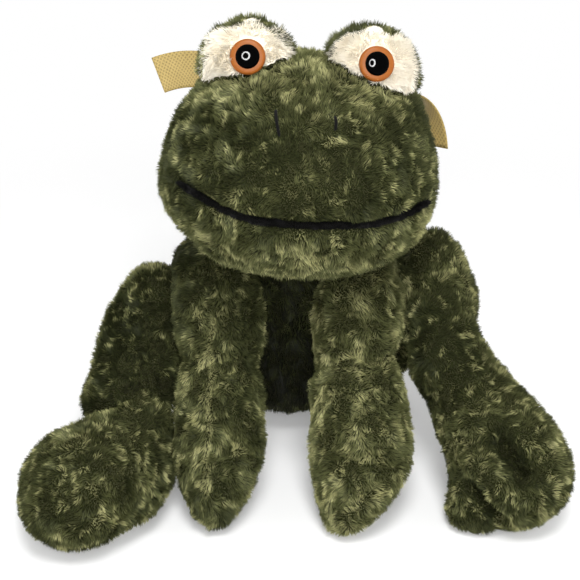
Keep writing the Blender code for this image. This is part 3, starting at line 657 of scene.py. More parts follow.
def ribbon_material():
    """Sheer gold ribbon, woven of fine threads that its own map follows."""
    trim = settings("trim")
    made = Surface(
        "gold_ribbon", 0.5, specular_ior_level=0.25, sheen_weight=0.15, sheen_roughness=0.3,
        sheen_tint=(*trim.gold, 1),
    )
    flat = made.node("ShaderNodeUVMap", uv_map="weave").outputs[0]
    place = made.node("ShaderNodeMapping", {"Vector": flat, "Rotation": (0, 0, WEAVE_TURN)}).outputs[0]
    thread = {"Vector": place, "Scale": math.tau / trim.ribbon_weave / 20, "Distortion": 0.6, "Detail": 1.0}
    weft, warp = (made.node("ShaderNodeTexWave", thread, bands_direction=way).outputs["Fac"] for way in "XY")
    cross = made.maths("MAXIMUM", weft, warp)
    slub = made.noise(place, 160.0)["Fac"]
    tone = made.maths("MULTIPLY_ADD", slub, 0.3, made.times(cross, 0.75))
    dark, light = ([min(1, x * share) for x in trim.gold] for share in GOLD_TONES)
    made.put(made.mix(tone, dark, light), made.shader["Base Color"])
    made.bump(cross, 0.6, 0.0003)
    return made.material


def paper_material():
    """White paper that keeps the toy's shadow near it and is plain white further out."""
    made = Surface("paper", 0.9, specular_ior_level=0.0, emission_color=(1, 1, 1, 1))
    place = made.place()
    mottle = made.noise(place, 2.0)["Fac"]
    fade = made.ranged(made.vector("LENGTH", place), *SHADOW_FADE, interpolation_type="SMOOTHSTEP")
    seen = made.seen()
    far = made.times(fade, seen)
    paper = made.mix(mottle, (0.86,) * 3, (0.9,) * 3)
    made.put(made.mix(far, paper, (0, 0, 0)), made.shader["Base Color"])
    made.put(made.between(far, made.times(seen, PAPER_GLOW), 1.0), made.shader["Emission Strength"])
    return made.material


def fit(piece, body, stood_for, material):
    """Gives a piece its material, and lets it ride a body in place of a node."""
    piece.data.materials.append(material)
    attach(piece, body)
    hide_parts(stood_for)


def keep_largest(shape):
    """Deletes all but the largest connected part of a bmesh."""
    left = set(shape.verts)
    groups = []
    while left:
        start = left.pop()
        group, edge = {start}, [start]
        while edge:
            point = edge.pop()
            for line in point.link_edges:
                other = line.other_vert(point)
                if other in left:
                    left.discard(other)
                    group.add(other)
                    edge.append(other)
        groups.append(group)
    largest = max(groups, key=len)
    bmesh.ops.delete(shape, geom=[point for point in shape.verts if point not in largest], context="VERTS")


def skin(name, nodes, balls=(), tuck=SKIN_TUCK, voxel=VOXEL):
    """A smooth closed form round the solids of some nodes, with balls that fill it out at its joints."""
    shape = welded(*nodes)
    for centre, radius in balls:
        bmesh.ops.create_uvsphere(
            shape, u_segments=24, v_segments=12, radius=radius, matrix=Matrix.Translation(centre)
        )
    made = from_bmesh(name, shape)
    wrap = made.modifiers.new("wrap", "REMESH")
    wrap.mode = "VOXEL"
    wrap.voxel_size = voxel
    evaluated(made)
    shape = bmesh.new()
    shape.from_mesh(made.data)
    keep_largest(shape)
    soften(shape, SKIN_SMOOTHINGS)
    shape.to_mesh(made.data)
    shape.free()
    put_points(made.data, points_of(made.data) - normals_of(made.data) * tuck)
    made.data.polygons.foreach_set("use_smooth", [True] * len(made.data.polygons))
    return made


def ray(x, y):
    """Where a pixel of the photograph looks from and to."""
    camera = bpy.context.scene.camera.matrix_world
    scale = SENSOR_WIDTH / LENS_LENGTH / IMAGE_SIZE
    middle = IMAGE_SIZE / 2
    aim = Vector(((x - middle) * scale, (middle - y) * scale, -1))
    return camera.translation.copy(), (camera.to_3x3() @ aim).normalized()


def on_skin(made, pixels):
    """Where some pixels meet a skin, or the places on it nearest to their view, with its normals there."""
    places = points_of(made.data)
    tree = BVHTree.FromPolygons(places, [tuple(face.vertices) for face in made.data.polygons])
    found = []
    for x, y in pixels:
        start, aim = ray(x, y)
        place, normal, _, _ = tree.ray_cast(start, aim)
        if place is None:
            off = np.linalg.norm(np.cross(places - np.array(start), np.array(aim)), axis=1)
            point = made.data.vertices[int(off.argmin())]
            place, normal = point.co.copy(), point.normal.copy()
        found.append((place, normal))
    return found


def line_distance(places, line):
    """How far each place is from a line through points, and the line's nearest point to it."""
    best = np.full(len(places), np.inf)
    nearest = np.zeros_like(places)
    for a, b in zip(line, line[1:]):
        a, b = np.array(a, float), np.array(b, float)
        share = np.clip((places - a) @ (b - a) / max((b - a) @ (b - a), 1e-12), 0, 1)
        foot = a + share[:, None] * (b - a)
        gap = np.linalg.norm(places - foot, axis=1)
        closer = gap < best
        best[closer], nearest[closer] = gap[closer], foot[closer]
    return best, nearest


def pile_size(kind):
    """The length and strand width of a kind of pile."""
    fleece, cream, trim = settings("fleece"), settings("cream"), settings("trim")
    return {
        "green": (fleece.length, fleece.width),
        "cream": (cream.length, fleece.width),
        "yarn": (trim.fuzz, trim.fuzz / 4),
    }[kind]


class Coat:
    """What the pile of one skin does at each point: its comb, its share of the length and its tone."""

    made = []

    def __init__(self, skin_object, body, comb_from, kind="green", strands=1.0, pieces=1, length=1.0,
                 tufts=1.0, blend=None):
        self.skin, self.body, self.kind, self.blend = skin_object, body, kind, blend
        self.strands, self.pieces, self.length, self.tufts = strands, pieces, length, tufts
        places = points_of(skin_object.data)
        self.comb = unit(places - np.array(comb_from))
        self.share = np.ones(len(places))
        self.tone = np.zeros(len(places))
        Coat.made.append(self)

    def marked(self):
        """Gives the skin the marks that the photograph shows on it."""
        for spot, *numbers in MARKS.get(self.skin.name.removesuffix("_fleece"), ()):
            if isinstance(spot[0], tuple):
                self.crease(spot, *numbers)
            else:
                self.push(spot, *numbers)

    def crease(self, pixels, width, depth, tone=0.0, part=0.0, share=0.0):
        """Presses a line that the photograph shows into the skin, and parts the pile along it."""
        line = [place for place, _ in on_skin(self.skin, pixels)]
        places, normals = points_of(self.skin.data), normals_of(self.skin.data)
        gap, nearest = line_distance(places, line)
        near = np.exp(-((gap / width) ** 2))
        put_points(self.skin.data, places - normals * (depth * near)[:, None])
        self.tone += tone * near
        self.share -= share * near
        away = unit(places - nearest)
        self.comb = unit(self.comb + away * (part * np.exp(-((gap / width / 2) ** 2)))[:, None])

    def push(self, pixel, radius, height, tone=0.0):
        """Moves the skin out, or in, round the place that a pixel shows."""
        place, _ = on_skin(self.skin, [pixel])[0]
        places, normals = points_of(self.skin.data), normals_of(self.skin.data)
        near = np.exp(-((np.linalg.norm(places - np.array(place), axis=1) / radius) ** 2))
        put_points(self.skin.data, places + normals * (height * near)[:, None])
        self.tone += tone * near

    def dressed(self, *nodes, fill):
        made = self.skin
        places = points_of(made.data)
        places[:, 2] = np.maximum(places[:, 2], 2 * FLOOR_ROOM)
        put_points(made.data, places)
        made.data.materials.clear()
        made.data.materials.append(fleece_material(self.kind + "_backing"))
        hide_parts(*nodes)
        self.attach(made)

    def attach(self, piece):
        """Lets a piece ride as the skin does: on one body, or, for a skin across a bend, fixed in place with
        its transform baked into its points.
        """
        if self.blend:
            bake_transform(piece)
        else:
            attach(piece, self.body)

    def clear(self, others, least):
        """Shortens the pile, down to a least share, where another skin leaves no room for it."""
        tree = BVHTree.FromPolygons(*others)
        places, normals = points_of(self.skin.data), normals_of(self.skin.data)
        reach = pile_size(self.kind)[0] * self.length
        for i, (place, normal) in enumerate(zip(places, normals)):
            start = Vector(place + normal * reach / 2)
            _, _, _, gap = tree.find_nearest(start, reach)
            if gap is not None:
                self.share[i] = min(self.share[i], max(least, (gap - CLEARANCE) / (reach / 2)))
            _, outward, _, room = tree.ray_cast(Vector(place + normal * CLEARANCE), Vector(normal))
            if room is None:
                continue
            if outward.dot(normal) > 0:
                self.share[i] = 0
            elif room < reach:
                self.share[i] = min(self.share[i], max(least, room / reach * ROOM_SHARE))

    def store(self):
        """Writes the coat to the skin, for the pile to read."""
        normals = normals_of(self.skin.data)
        below, behind = np.clip(-normals[:, 2] * 2 - 0.8, 0, 1), np.clip(normals[:, 1] * 2, 0, 1)
        cover = 1 - THIN_BELOW * below - THIN_BEHIND * behind * (1 - below)
        for name, values in zip(COAT_STORES, (self.comb, np.clip(self.share, 0, 1), self.tone, cover)):
            store(self.skin.data, name, values)

    def grow(self, tree, seed):
        """The pile of the coat, as one or more pieces of closed spikes."""
        fleece = settings("fleece")
        long, wide = pile_size(self.kind)
        density = fleece.density * self.strands / self.pieces
        for i in range(self.pieces):
            suffix = f"_pile_{i + 1}" if self.pieces > 1 else "_pile"
            pile = new_object(self.skin.name.replace("_fleece", "") + suffix, self.skin.data.copy())
            stand = pile.modifiers.new("pile", "NODES")
            stand.node_group = tree
            sizes = (density, long * self.length, wide)
            values = (*sizes, fleece.lean, fleece.swirl, fleece.ruffle, self.tufts, seed + i)
            given = dict(zip(PILE_INPUTS, values))
            for item in tree.interface.items_tree:
                if item.name in given:
                    stand[item.identifier] = given[item.name]
            evaluated(pile)
            for name in (*COAT_STORES, "stand", "across"):
                if name in pile.data.attributes:
                    pile.data.attributes.remove(pile.data.attributes[name])
            pile.data.materials.clear()
            pile.data.materials.append(fleece_material(self.kind + "_pile"))
            pile.data.polygons.foreach_set("use_smooth", [False] * len(pile.data.polygons))
            self.attach(pile)
        for name in COAT_STORES:
            self.skin.data.attributes.remove(self.skin.data.attributes[name])


def pile_tree():
    """Geometry nodes that stand closed spikes on a skin, by its comb, share and tone."""
    tree = bpy.data.node_groups.new("pile", "GeometryNodeTree")
    sockets = [(name, "Int" if name == "Seed" else "Float") for name in PILE_INPUTS]
    for name, kind in (("Geometry", "Geometry"), *sockets):
        tree.interface.new_socket(name, in_out="INPUT", socket_type="NodeSocket" + kind)
    tree.interface.new_socket("Geometry", in_out="OUTPUT", socket_type="NodeSocketGeometry")
    graph = Graph(tree)
    given = graph.node("NodeGroupInput").outputs
    position = graph.node("GeometryNodeInputPosition").outputs[0]

    def named(name, kind="FLOAT"):
        found = graph.node("GeometryNodeInputNamedAttribute", {"Name": name}, data_type=kind)
        return found.outputs["Attribute"]

    def chance(low, high, step, kind="FLOAT"):
        first = 0 if kind == "FLOAT_VECTOR" else 2
        inputs = {first: low, first + 1: high, "Seed": graph.plus(given["Seed"], float(step))}
        return graph.node("FunctionNodeRandomValue", inputs, data_type=kind).outputs[first // 2]

    def turned(noise, strength):
        return graph.vector("SCALE", graph.vector("SUBTRACT", noise["Color"], (0.5,) * 3), strength)

    there = graph.maths("GREATER_THAN", named("share"), LEAST_SHARE)
    scatter = graph.node(
        "GeometryNodeDistributePointsOnFaces",
        {
            "Mesh": given["Geometry"],
            "Density": graph.times(given["Density"], named("cover"), there),
            "Seed": given["Seed"],
        },
    ).outputs
    points = graph.stored(scatter["Points"], "stand", scatter["Normal"], "FLOAT_VECTOR")

    swirl, ruffle = (graph.noise(position, scale, 1.0) for scale in (SWIRL_SCALE, RUFFLE_SCALE))
    stand = named("stand", "FLOAT_VECTOR")
    aim = graph.vector("ADD", stand, graph.vector("SCALE", named("comb", "FLOAT_VECTOR"), given["Lean"]))
    aim = graph.vector("ADD", aim, turned(swirl, given["Swirl"]))
    aim = graph.vector("ADD", aim, turned(ruffle, given["Ruffle"]))
    aim = graph.vector("ADD", aim, chance((-STRAY_TURN,) * 3, (STRAY_TURN,) * 3, 1, "FLOAT_VECTOR"))
    aim = graph.vector("NORMALIZE", aim)
    up = graph.vector("DOT_PRODUCT", aim, stand)
    lift = graph.maths("MAXIMUM", graph.maths("SUBTRACT", LEAST_UP, up), 0.0)
    aim = graph.vector("NORMALIZE", graph.vector("ADD", aim, graph.vector("SCALE", stand, lift)))
    uneven = graph.ranged(ruffle["Fac"], *UNEVEN_LENGTH)
    length = graph.times(given["Length"], named("share"), chance(*STRAY_LENGTH, 2), uneven)
    parts = graph.apart(aim)
    above = graph.maths("SUBTRACT", FLOOR_ROOM, graph.apart(position)["Z"])
    lowest = graph.maths("DIVIDE", above, graph.maths("MAXIMUM", length, 1e-5))
    aim = graph.joined(parts["X"], parts["Y"], graph.maths("MAXIMUM", parts["Z"], lowest))
    length = graph.times(length, graph.vector("LENGTH", aim))

    pale = graph.ranged(graph.noise(position, PATCH_SCALE)["Fac"], *PATCH_TONE)
    tall = graph.vector("MULTIPLY", position, TUFT_STRETCH)
    tufted = graph.ranged(graph.noise(tall, TUFT_SCALE, 1.5)["Fac"], *TUFT_TONE)
    # Painted sheen on the strands that lie over
    laid_sheen = graph.ranged(up, *LAID_SHEEN_TONE)
    tone = graph.plus(
        graph.times(tufted, given["Tufts"]), laid_sheen, pale, named("tone_base"), chance(*STRAY_TONE, 3)
    )
    tone = graph.node("ShaderNodeClamp", {"Value": tone, "Min": -1.0}).outputs[0]
    points = graph.stored(points, "tone", tone)

    cone = {"Vertices": 3, "Radius Top": 0.0, "Radius Bottom": 0.5, "Depth": 1.0}
    spike = graph.node("GeometryNodeMeshCone", cone, fill_type="NGON").outputs["Mesh"]
    spike = graph.stored(spike, "rise", graph.apart(position)["Z"])
    spike = graph.stored(spike, "across", position, "FLOAT_VECTOR")

    wide = graph.times(given["Width"], chance(*STRAY_WIDTH, 4))
    wide = graph.maths("DIVIDE", wide, graph.maths("SQRT", graph.maths("MAXIMUM", named("cover"), 0.1)))
    turn = graph.node("FunctionNodeAlignRotationToVector", {"Vector": aim}, axis="Z").outputs[0]
    stood = graph.node(
        "GeometryNodeInstanceOnPoints",
        {"Points": points, "Instance": spike, "Rotation": turn, "Scale": graph.joined(wide, wide, length)},
    ).outputs["Instances"]
    real = graph.node("GeometryNodeRealizeInstances", {"Geometry": stood}).outputs["Geometry"]
    flat = graph.apart(named("across", "FLOAT_VECTOR"))
    span = 1 - 2 * PALETTE_MARGIN
    level = graph.maths("MULTIPLY_ADD", named("tone"), span / 2, PALETTE_MARGIN + span / 2)
    u = graph.maths("MULTIPLY_ADD", flat["X"], PALETTE_STEP, level)
    level = graph.maths("MULTIPLY_ADD", named("rise"), span, PALETTE_MARGIN)
    v = graph.maths("MULTIPLY_ADD", flat["Y"], PALETTE_STEP, level)
    mapped = graph.stored(real, "OFBake", graph.joined(u, v), "FLOAT2", "CORNER")
    graph.node("NodeGroupOutput", {"Geometry": mapped})
    return tree


def stuffed(*bodies):
    """The skin and stuffing nodes of some bodies."""
    return [f"{body}_{kind}" for body in bodies for kind in ("skin", "stuffing")]


def ring_light(centre, facing, strength):
    """A flat glowing ring by the camera, which only the pupils show."""
    shape = bmesh.new()
    loops = []
    for radius in RING_RADII:
        made = bmesh.ops.create_circle(shape, segments=64, radius=radius)
        loops.append(list({edge for point in made["verts"] for edge in point.link_edges}))
    bmesh.ops.bridge_loops(shape, edges=loops[0] + loops[1])
    turn = (-facing).to_track_quat("-Z", "Y").to_matrix().to_4x4()
    bmesh.ops.transform(shape, matrix=Matrix.Translation(centre) @ turn, verts=shape.verts[:])
    ring = from_bmesh("ring", shape, smooth=False)
    glow = Surface("ring", 1.0, emission_color=(1, 1, 1, 1), emission_strength=strength)
    ring.data.materials.append(glow.material)
    ring.visible_camera = ring.visible_diffuse = ring.visible_shadow = False
    return ring


class PLUSH_OT_stage(bpy.types.Operator):
    """Sets the camera, the soft lights and the pale floor"""

    bl_idname = "plush.stage"
    bl_label = "Stage"

    def execute(self, context):
        stage = settings("stage")
        scene = context.scene
        scene.view_settings.view_transform = "Standard"
        back = Vector((0, -math.cos(CAMERA_ELEVATION), math.sin(CAMERA_ELEVATION)))
        lens = bpy.data.cameras.new("camera")
        lens.sensor_width = SENSOR_WIDTH * 1000
        lens.lens = LENS_LENGTH * 1000
        camera = new_object("camera", lens, CAMERA_TARGET + back * CAMERA_DISTANCE)
        camera.rotation_euler = (-back).to_track_quat("-Z", "Y").to_euler()
        scene.camera = camera
        context.view_layer.update()

        powers = {"key": stage.key, "front": stage.front}
        for name, (place, size) in LAMPS.items():
            lamp = bpy.data.lights.new(name, "AREA")
            lamp.shape = "DISK"
            lamp.size = size
            lamp.energy = powers.get(name, stage.fill)
            shown = new_object(name, lamp, place)
            shown.rotation_euler = (CAMERA_TARGET - place).to_track_quat("-Z", "Y").to_euler()
        ring_light(camera.location + RING_OFFSET, back, stage.ring)

        scene.world = bpy.data.worlds.new("studio")
        scene.world.use_nodes = True
        graph = Graph(scene.world.node_tree)
        sky = graph.tree.nodes["Background"].inputs
        graph.put(graph.between(graph.seen(), SKY, 1.0), sky["Strength"])
        sky["Color"].default_value = (1, 1, 1, 1)

        ground = bmesh.new()
        bmesh.ops.create_grid(ground, x_segments=1, y_segments=1, size=FLOOR_SIZE)
        floor = from_bmesh("floor", ground, smooth=False)
        floor.data.materials.append(paper_material())
        return {"FINISHED"}


class PLUSH_OT_head(bpy.types.Operator):
    """Makes the head's skin, with its mouth fold, lips and brow"""

    bl_idname = "plush.head"
    bl_label = "Head"

    def execute(self, context):
        made = skin("head_fleece", stuffed("head"), tuck=HEAD_TUCK)
        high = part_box("head_skin")[1]
        centre = centre_of("head_skin")
        places = points_of(made.data)
        upper = np.clip((places[:, 2] - centre.z) / (high.z - centre.z), 0, 1)
        places[:, 0] = centre.x + (places[:, 0] - centre.x) * (1 - CROWN_NARROWING * np.sqrt(upper))
        put_points(made.data, places)
        coat = Coat(made, "head", centre + Vector(HEAD_COMB), pieces=3)
        lips = [place.z for place, _ in on_skin(made, MOUTH_PIXELS)]
        level = sum(lips, 0.0) / len(lips)
        coat.marked()
        places = points_of(made.data)
        front = places[:, 1] < centre.y
        chin = np.clip((level - CHIN_DROP - places[:, 2]) / CHIN_FADE, 0, 1) * front
        brow = np.clip((places[:, 2] - high.z + BROW_DEPTH) / BROW_FADE, 0, 1)
        muzzle = np.exp(-(((places[:, 2] - level - MUZZLE_RISE) / MUZZLE_WIDTH) ** 2)) * front
        # Painted light makes the chin and the brow paler, and painted shade darkens the muzzle's front
        coat.tone += CHIN_PAINTED_LIGHT * chin + BROW_PAINTED_LIGHT * brow - MUZZLE_PAINTED_SHADE * muzzle
        coat.share *= 1 - MUZZLE_TRIM * muzzle
        coat.dressed(*stuffed("head"), fill=0.9)
        return {"FINISHED"}


class PLUSH_OT_torso(bpy.types.Operator):
    """Makes the torso's skin over its stuffing and the bag of pellets"""

    bl_idname = "plush.torso"
    bl_label = "Torso"

    def execute(self, context):
        nodes = [*stuffed("torso"), "pellet_bag"]
        made = skin("torso_fleece", nodes, [(JOINTS["neck"], PLUGS["neck"])])
        coat = Coat(made, "torso", JOINTS["neck"] + Vector(TORSO_COMB), strands=0.6, pieces=2)
        coat.marked()
        coat.dressed(*nodes, fill=0.7)
        return {"FINISHED"}


def taper_hand(made, side):
    """Draws a hand in towards the blunt tip that it rests on."""
    low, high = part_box(f"{side}_forearm_skin")
    start, aim = ray(*HAND_TIP_PIXELS[side])
    tip = start + aim * ((HAND_TIP_HEIGHT - start.z) / aim.z)
    places = points_of(made.data)
    share = np.clip((HAND_TAPER_HEIGHT - places[:, 2]) / (HAND_TAPER_HEIGHT - HAND_TIP_HEIGHT), 0, 1) ** 2
    middle = (low.x + high.x) / 2
    places[:, 0] = middle + (tip.x - middle) * share + (places[:, 0] - middle) * (1 - HAND_TAPER * share)
    front = np.clip((high.y - places[:, 1]) / (high.y - low.y), 0, 1)
    places[:, 1] -= HAND_REACH * share * front
    put_points(made.data, places)


class PLUSH_OT_arms(bpy.types.Operator):
    """Makes each arm's skin, one sock from the shoulder to the hand"""

    bl_idname = "plush.arms"
    bl_label = "Arms"

    def execute(self, context):
        for side in SIDES:
            bodies = (f"{side}_upper_arm", f"{side}_forearm")
            elbow, shoulder = JOINTS[f"{side}_elbow"], JOINTS[f"{side}_shoulder"]
            balls = [(elbow, BENDS["elbow"]), (shoulder, PLUGS["shoulder"])]
            made = skin(f"{side}_arm_fleece", stuffed(*bodies), balls)
            along = (elbow - shoulder).normalized()
            reach = along * ARM_BEND_REACH
            blend = (*bodies, elbow - reach, elbow + reach)
            coat = Coat(made, bodies[0], shoulder - along * ARM_COMB, blend=blend)
            taper_hand(made, side)
            # Painted light on the left arm
            coat.tone += ARM_PAINTED_LIGHT[side]
            coat.marked()
            coat.dressed(*stuffed(*bodies), fill=0.6)
        return {"FINISHED"}


class PLUSH_OT_legs(bpy.types.Operator):
    """Makes the right leg over its knee and its foot, and the left thigh with a leg down to its slack foot"""

    bl_idname = "plush.legs"
    bl_label = "Legs"

    def execute(self, context):
        for name, (parts, joint, plugs) in LEG_PIECES.items():
            side = name.split("_")[0]
            bodies = [f"{side}_{part}" for part in parts]
            spots = {place: JOINTS[f"{side}_{place}"] for place in ("hip", "knee", "ankle")}
            balls = [(spots[place], radius) for place, radius in plugs]
            blend = None
            if joint:
                way = [*spots.values(), centre_of(f"{side}_foot_skin")]
                i = list(spots).index(joint)
                before, bend, after = way[i - 1:i + 2]
                turn = (bend - before).normalized() + (after - bend).normalized()
                along = turn.normalized() * LEG_BEND_REACH
                balls.append((bend, BENDS[joint]))
                blend = (*bodies, bend - along, bend + along)
            made = skin(name + "_fleece", stuffed(*bodies), balls)
            comb = spots["ankle"] if parts == ("foot",) else spots["hip"] + Vector(LEG_COMB)
            coat = Coat(made, bodies[0], comb, strands=0.9, tufts=1.4, blend=blend)
            coat.marked()
            coat.dressed(*stuffed(*bodies), fill=0.6)
        return {"FINISHED"}


def eye_aim(side):
    """An eye's seat, behind its disc, and where it looks."""
    back, front = (
        Vector(points_of(frame["nodes"][f"{side}_eye_{part}"].data).mean(0)) for part in ("washer", "pupil")
    )
    return back, (front - back).normalized()


def draw_in(made, side):
    """Draws a patch in towards its eye, so that the mound's own pile frames it."""
    seat, aim = (np.array(part) for part in eye_aim(side))
    places = points_of(made.data) - seat
    deep = (places @ aim)[:, None] * aim
    put_points(made.data, seat + deep + (places - deep) * PATCH_DRAW + aim * PATCH_LIFT)


class PLUSH_OT_eye_mounds(bpy.types.Operator):
    """Makes the eye mounds and the cream patches in front of them"""

    bl_idname = "plush.eye_mounds"
    bl_label = "Eye mounds"

    def execute(self, context):
        for side in SIDES:
            eye = centre_of(f"{side}_eye_iris")
            for part, kind, tuck, voxel, length, tufts in EYE_PIECES:
                name = f"{side}_{part}"
                made = skin(name + "_fleece", [name], tuck=tuck, voxel=voxel)
                if kind == "cream":
                    draw_in(made, side)
                comb = eye + Vector(EYE_COMB)
                coat = Coat(made, "head", comb, kind=kind, strands=1.2, length=length, tufts=tufts)
                gap = np.linalg.norm(points_of(made.data) - np.array(eye), axis=1)
                coat.share = np.clip((gap - EYE_CLEARING) / EYE_FADE, 0, 1)
                coat.marked()
                coat.dressed(name, fill=0.8)
        return {"FINISHED"}


def lathe(name, outline, place, aim):
    """A turned piece from an outline of (radius, height), with its axis along aim."""
    shape = bmesh.new()
    points = [shape.verts.new((radius, 0, height)) for radius, height in outline]
    for upper, lower in zip(points, points[1:]):
        shape.edges.new((upper, lower))
    around = {"axis": (0, 0, 1), "cent": (0, 0, 0), "angle": math.tau}
    bmesh.ops.spin(shape, geom=shape.verts[:] + shape.edges[:], steps=EYE_SEGMENTS, use_merge=True, **around)
    bmesh.ops.remove_doubles(shape, verts=shape.verts[:], dist=1e-6)
    bmesh.ops.recalc_face_normals(shape, faces=shape.faces[:])
    turn = aim.to_track_quat("Z", "Y").to_matrix().to_4x4()
    bmesh.ops.transform(shape, matrix=Matrix.Translation(place) @ turn, verts=shape.verts[:])
    return from_bmesh(name, shape)


def light_only(lamp, targets, state):
    """Includes or excludes some pieces from what a light falls on."""
    group = bpy.data.collections.new(lamp.name + "_targets")
    for target in targets:
        group.objects.link(target)
    for member in group.collection_objects:
        member.light_linking.link_state = state
    lamp.light_linking.receiver_collection = group


class PLUSH_OT_eyes(bpy.types.Operator):
    """Makes the amber discs and the black domes of the eyes"""

    bl_idname = "plush.eyes"
    bl_label = "Eyes"

    def execute(self, context):
        light = settings("trim").amber
        amber = mottled(
            "amber_plastic", 0.36, 320.0, 3.0, [x * AMBER_DARK for x in light], light,
            coat_weight=0.05, coat_roughness=0.2, specular_ior_level=0.2,
        )
        black = pupil_material()
        white = mottled(
            "washer_plastic", 0.45, 260.0, 3.0, (0.62, 0.62, 0.60), (0.80, 0.80, 0.78), (0.3, 0.0002),
            specular_ior_level=0.4,
        )
        domes = []
        for side in SIDES:
            iris, pupil, washer = (f"{side}_eye_{part}" for part in ("iris", "pupil", "washer"))
            frame["nodes"][washer].data.materials.clear()
            frame["nodes"][washer].data.materials.append(white)
            back, aim = eye_aim(side)
            bulge, discs = (points_of(frame["nodes"][name].data) - np.array(back) for name in (pupil, iris))
            heights, levels = bulge @ np.array(aim), discs @ np.array(aim)
            radius = np.linalg.norm(discs - np.outer(levels, np.array(aim)), axis=1).max()
            seat = back + aim * heights.min()
            top, rim = heights.max() - heights.min(), levels.max() - heights.min()
            disc = [(0, rim), (PUPIL_RADIUS, rim + IRIS_HOLLOW)]
            for turn in (math.pi / 2 * step / 8 for step in range(9)):
                out = radius - IRIS_ROUNDING + IRIS_ROUNDING * math.sin(turn)
                disc.append((out, rim - IRIS_DROP + IRIS_DROP * math.cos(turn)))
            under, end = rim - IRIS_DEPTH, rim - STEM_DEPTH
            disc += [(radius, under), (STEM_RADIUS, under), (STEM_RADIUS, end), (0, end)]
            fit(lathe(f"{side}_iris_disc", disc, seat, aim), "head", iris, amber)
            dome = [
                (PUPIL_RADIUS * math.sin(turn), rim + (top - rim) * math.cos(turn))
                for turn in (math.pi / 2 * step / 14 for step in range(15))
            ]
            dome += [(PUPIL_RADIUS, rim - PUPIL_SEAT), (0, rim - PUPIL_SEAT)]
            domes.append(lathe(f"{side}_pupil_dome", dome, seat, aim))
            fit(domes[-1], "head", pupil, black)
        for lamp in LAMPS:
            light_only(bpy.data.objects[lamp], domes, "EXCLUDE")
        light_only(bpy.data.objects["ring"], domes, "INCLUDE")
        return {"FINISHED"}


def tube(name, line, radius, sides, flat=1.0):
    """A closed tube along a line of (place, outward normal), pressed flat or not, with tapered ends."""
    shape = bmesh.new()
    rings = []
    for i, (place, out) in enumerate(line):
        before, after = line[max(i - 1, 0)][0], line[min(i + 1, len(line) - 1)][0]
        along = (after - before).normalized()
        across = along.cross(out).normalized()
        up = across.cross(along)
        size = radius * math.sqrt(max(1 - (2 * i / (len(line) - 1) - 1) ** TUBE_TAPER, TUBE_END))
        ring = []
        for turn in (math.tau * j / sides for j in range(sides)):
            rise = up * math.sin(turn) * size * flat
            ring.append(shape.verts.new(place + across * math.cos(turn) * size + rise))
        rings.append([shape.edges.new((ring[j - 1], ring[j])) for j in range(sides)])
    for a, b in zip(rings, rings[1:]):
        bmesh.ops.bridge_loops(shape, edges=a + b)
    bmesh.ops.holes_fill(shape, edges=[edge for edge in shape.edges if edge.is_boundary], sides=sides)
    bmesh.ops.recalc_face_normals(shape, faces=shape.faces[:])
    return from_bmesh(name, shape)


def smooth_line(found, steps):
    """A line of (place, normal) with more points, on a smooth curve."""
    places = np.array([[*place, *normal] for place, normal in found])
    count = len(places)
    out = []
    for t in np.linspace(0, count - 1, steps):
        i = min(int(t), count - 2)
        f = t - i
        p0, p1, p2, p3 = (places[min(max(i + k, 0), count - 1)] for k in (-1, 0, 1, 2))
        value = 0.5 * (2 * p1 + (p2 - p0) * f + (2 * p0 - 5 * p1 + 4 * p2 - p3) * f**2
                       + (3 * p1 - p0 - 3 * p2 + p3) * f**3)
        out.append((Vector(value[:3]), Vector(value[3:]).normalized()))
    return out


class PLUSH_OT_face(bpy.types.Operator):
    """Makes the yarn of the mouth and the stitches of the nostrils"""

    bl_idname = "plush.face"
    bl_label = "Mouth and nostrils"

    def execute(self, context):
        trim = settings("trim")
        yarn = mottled(
            "charcoal_yarn", 0.95, 1400.0, 3.0, trim.charcoal, [x * YARN_PALE for x in trim.charcoal],
            (0.7, 0.0005), specular_ior_level=0.08, sheen_weight=0.04,
        )
        head = bpy.data.objects["head_fleece"]
        line = smooth_line(on_skin(head, MOUTH_PIXELS), MOUTH_STEPS)
        line = [(place + normal * (trim.yarn * YARN_LIFT), normal) for place, normal in line]
        mouth = tube("mouth_yarn", line, trim.yarn / 2, MOUTH_SEGMENTS, flat=YARN_FLATNESS)
        places = points_of(mouth.data)
        index = np.arange(len(places))
        ring, turn = index // MOUTH_SEGMENTS, index % MOUTH_SEGMENTS * math.tau / MOUTH_SEGMENTS
        twist = np.cos(ring * YARN_TWIST + turn) * trim.yarn * YARN_PLY
        put_points(mouth.data, places + normals_of(mouth.data) * twist[:, None])
        Coat(mouth, "head", places.mean(0) + np.array(YARN_COMB), kind="yarn", strands=4.5, tufts=0.5)
        fit(mouth, "head", "mouth_line", yarn)
        for side, pixels in NOSTRIL_PIXELS.items():
            line = []
            for i, (place, normal) in enumerate(smooth_line(on_skin(head, pixels), NOSTRIL_STEPS)):
                arch = math.sqrt(max(math.sin(math.pi * i / (NOSTRIL_STEPS - 1)), 0))
                line.append((place + normal * (NOSTRIL_LIFT + NOSTRIL_ARCH * arch), normal))
            stitch = tube(f"{side}_nostril_stitch", line, trim.thread / 2, NOSTRIL_SEGMENTS)
            fit(stitch, "head", f"{side}_nostril", yarn)
        return {"FINISHED"}


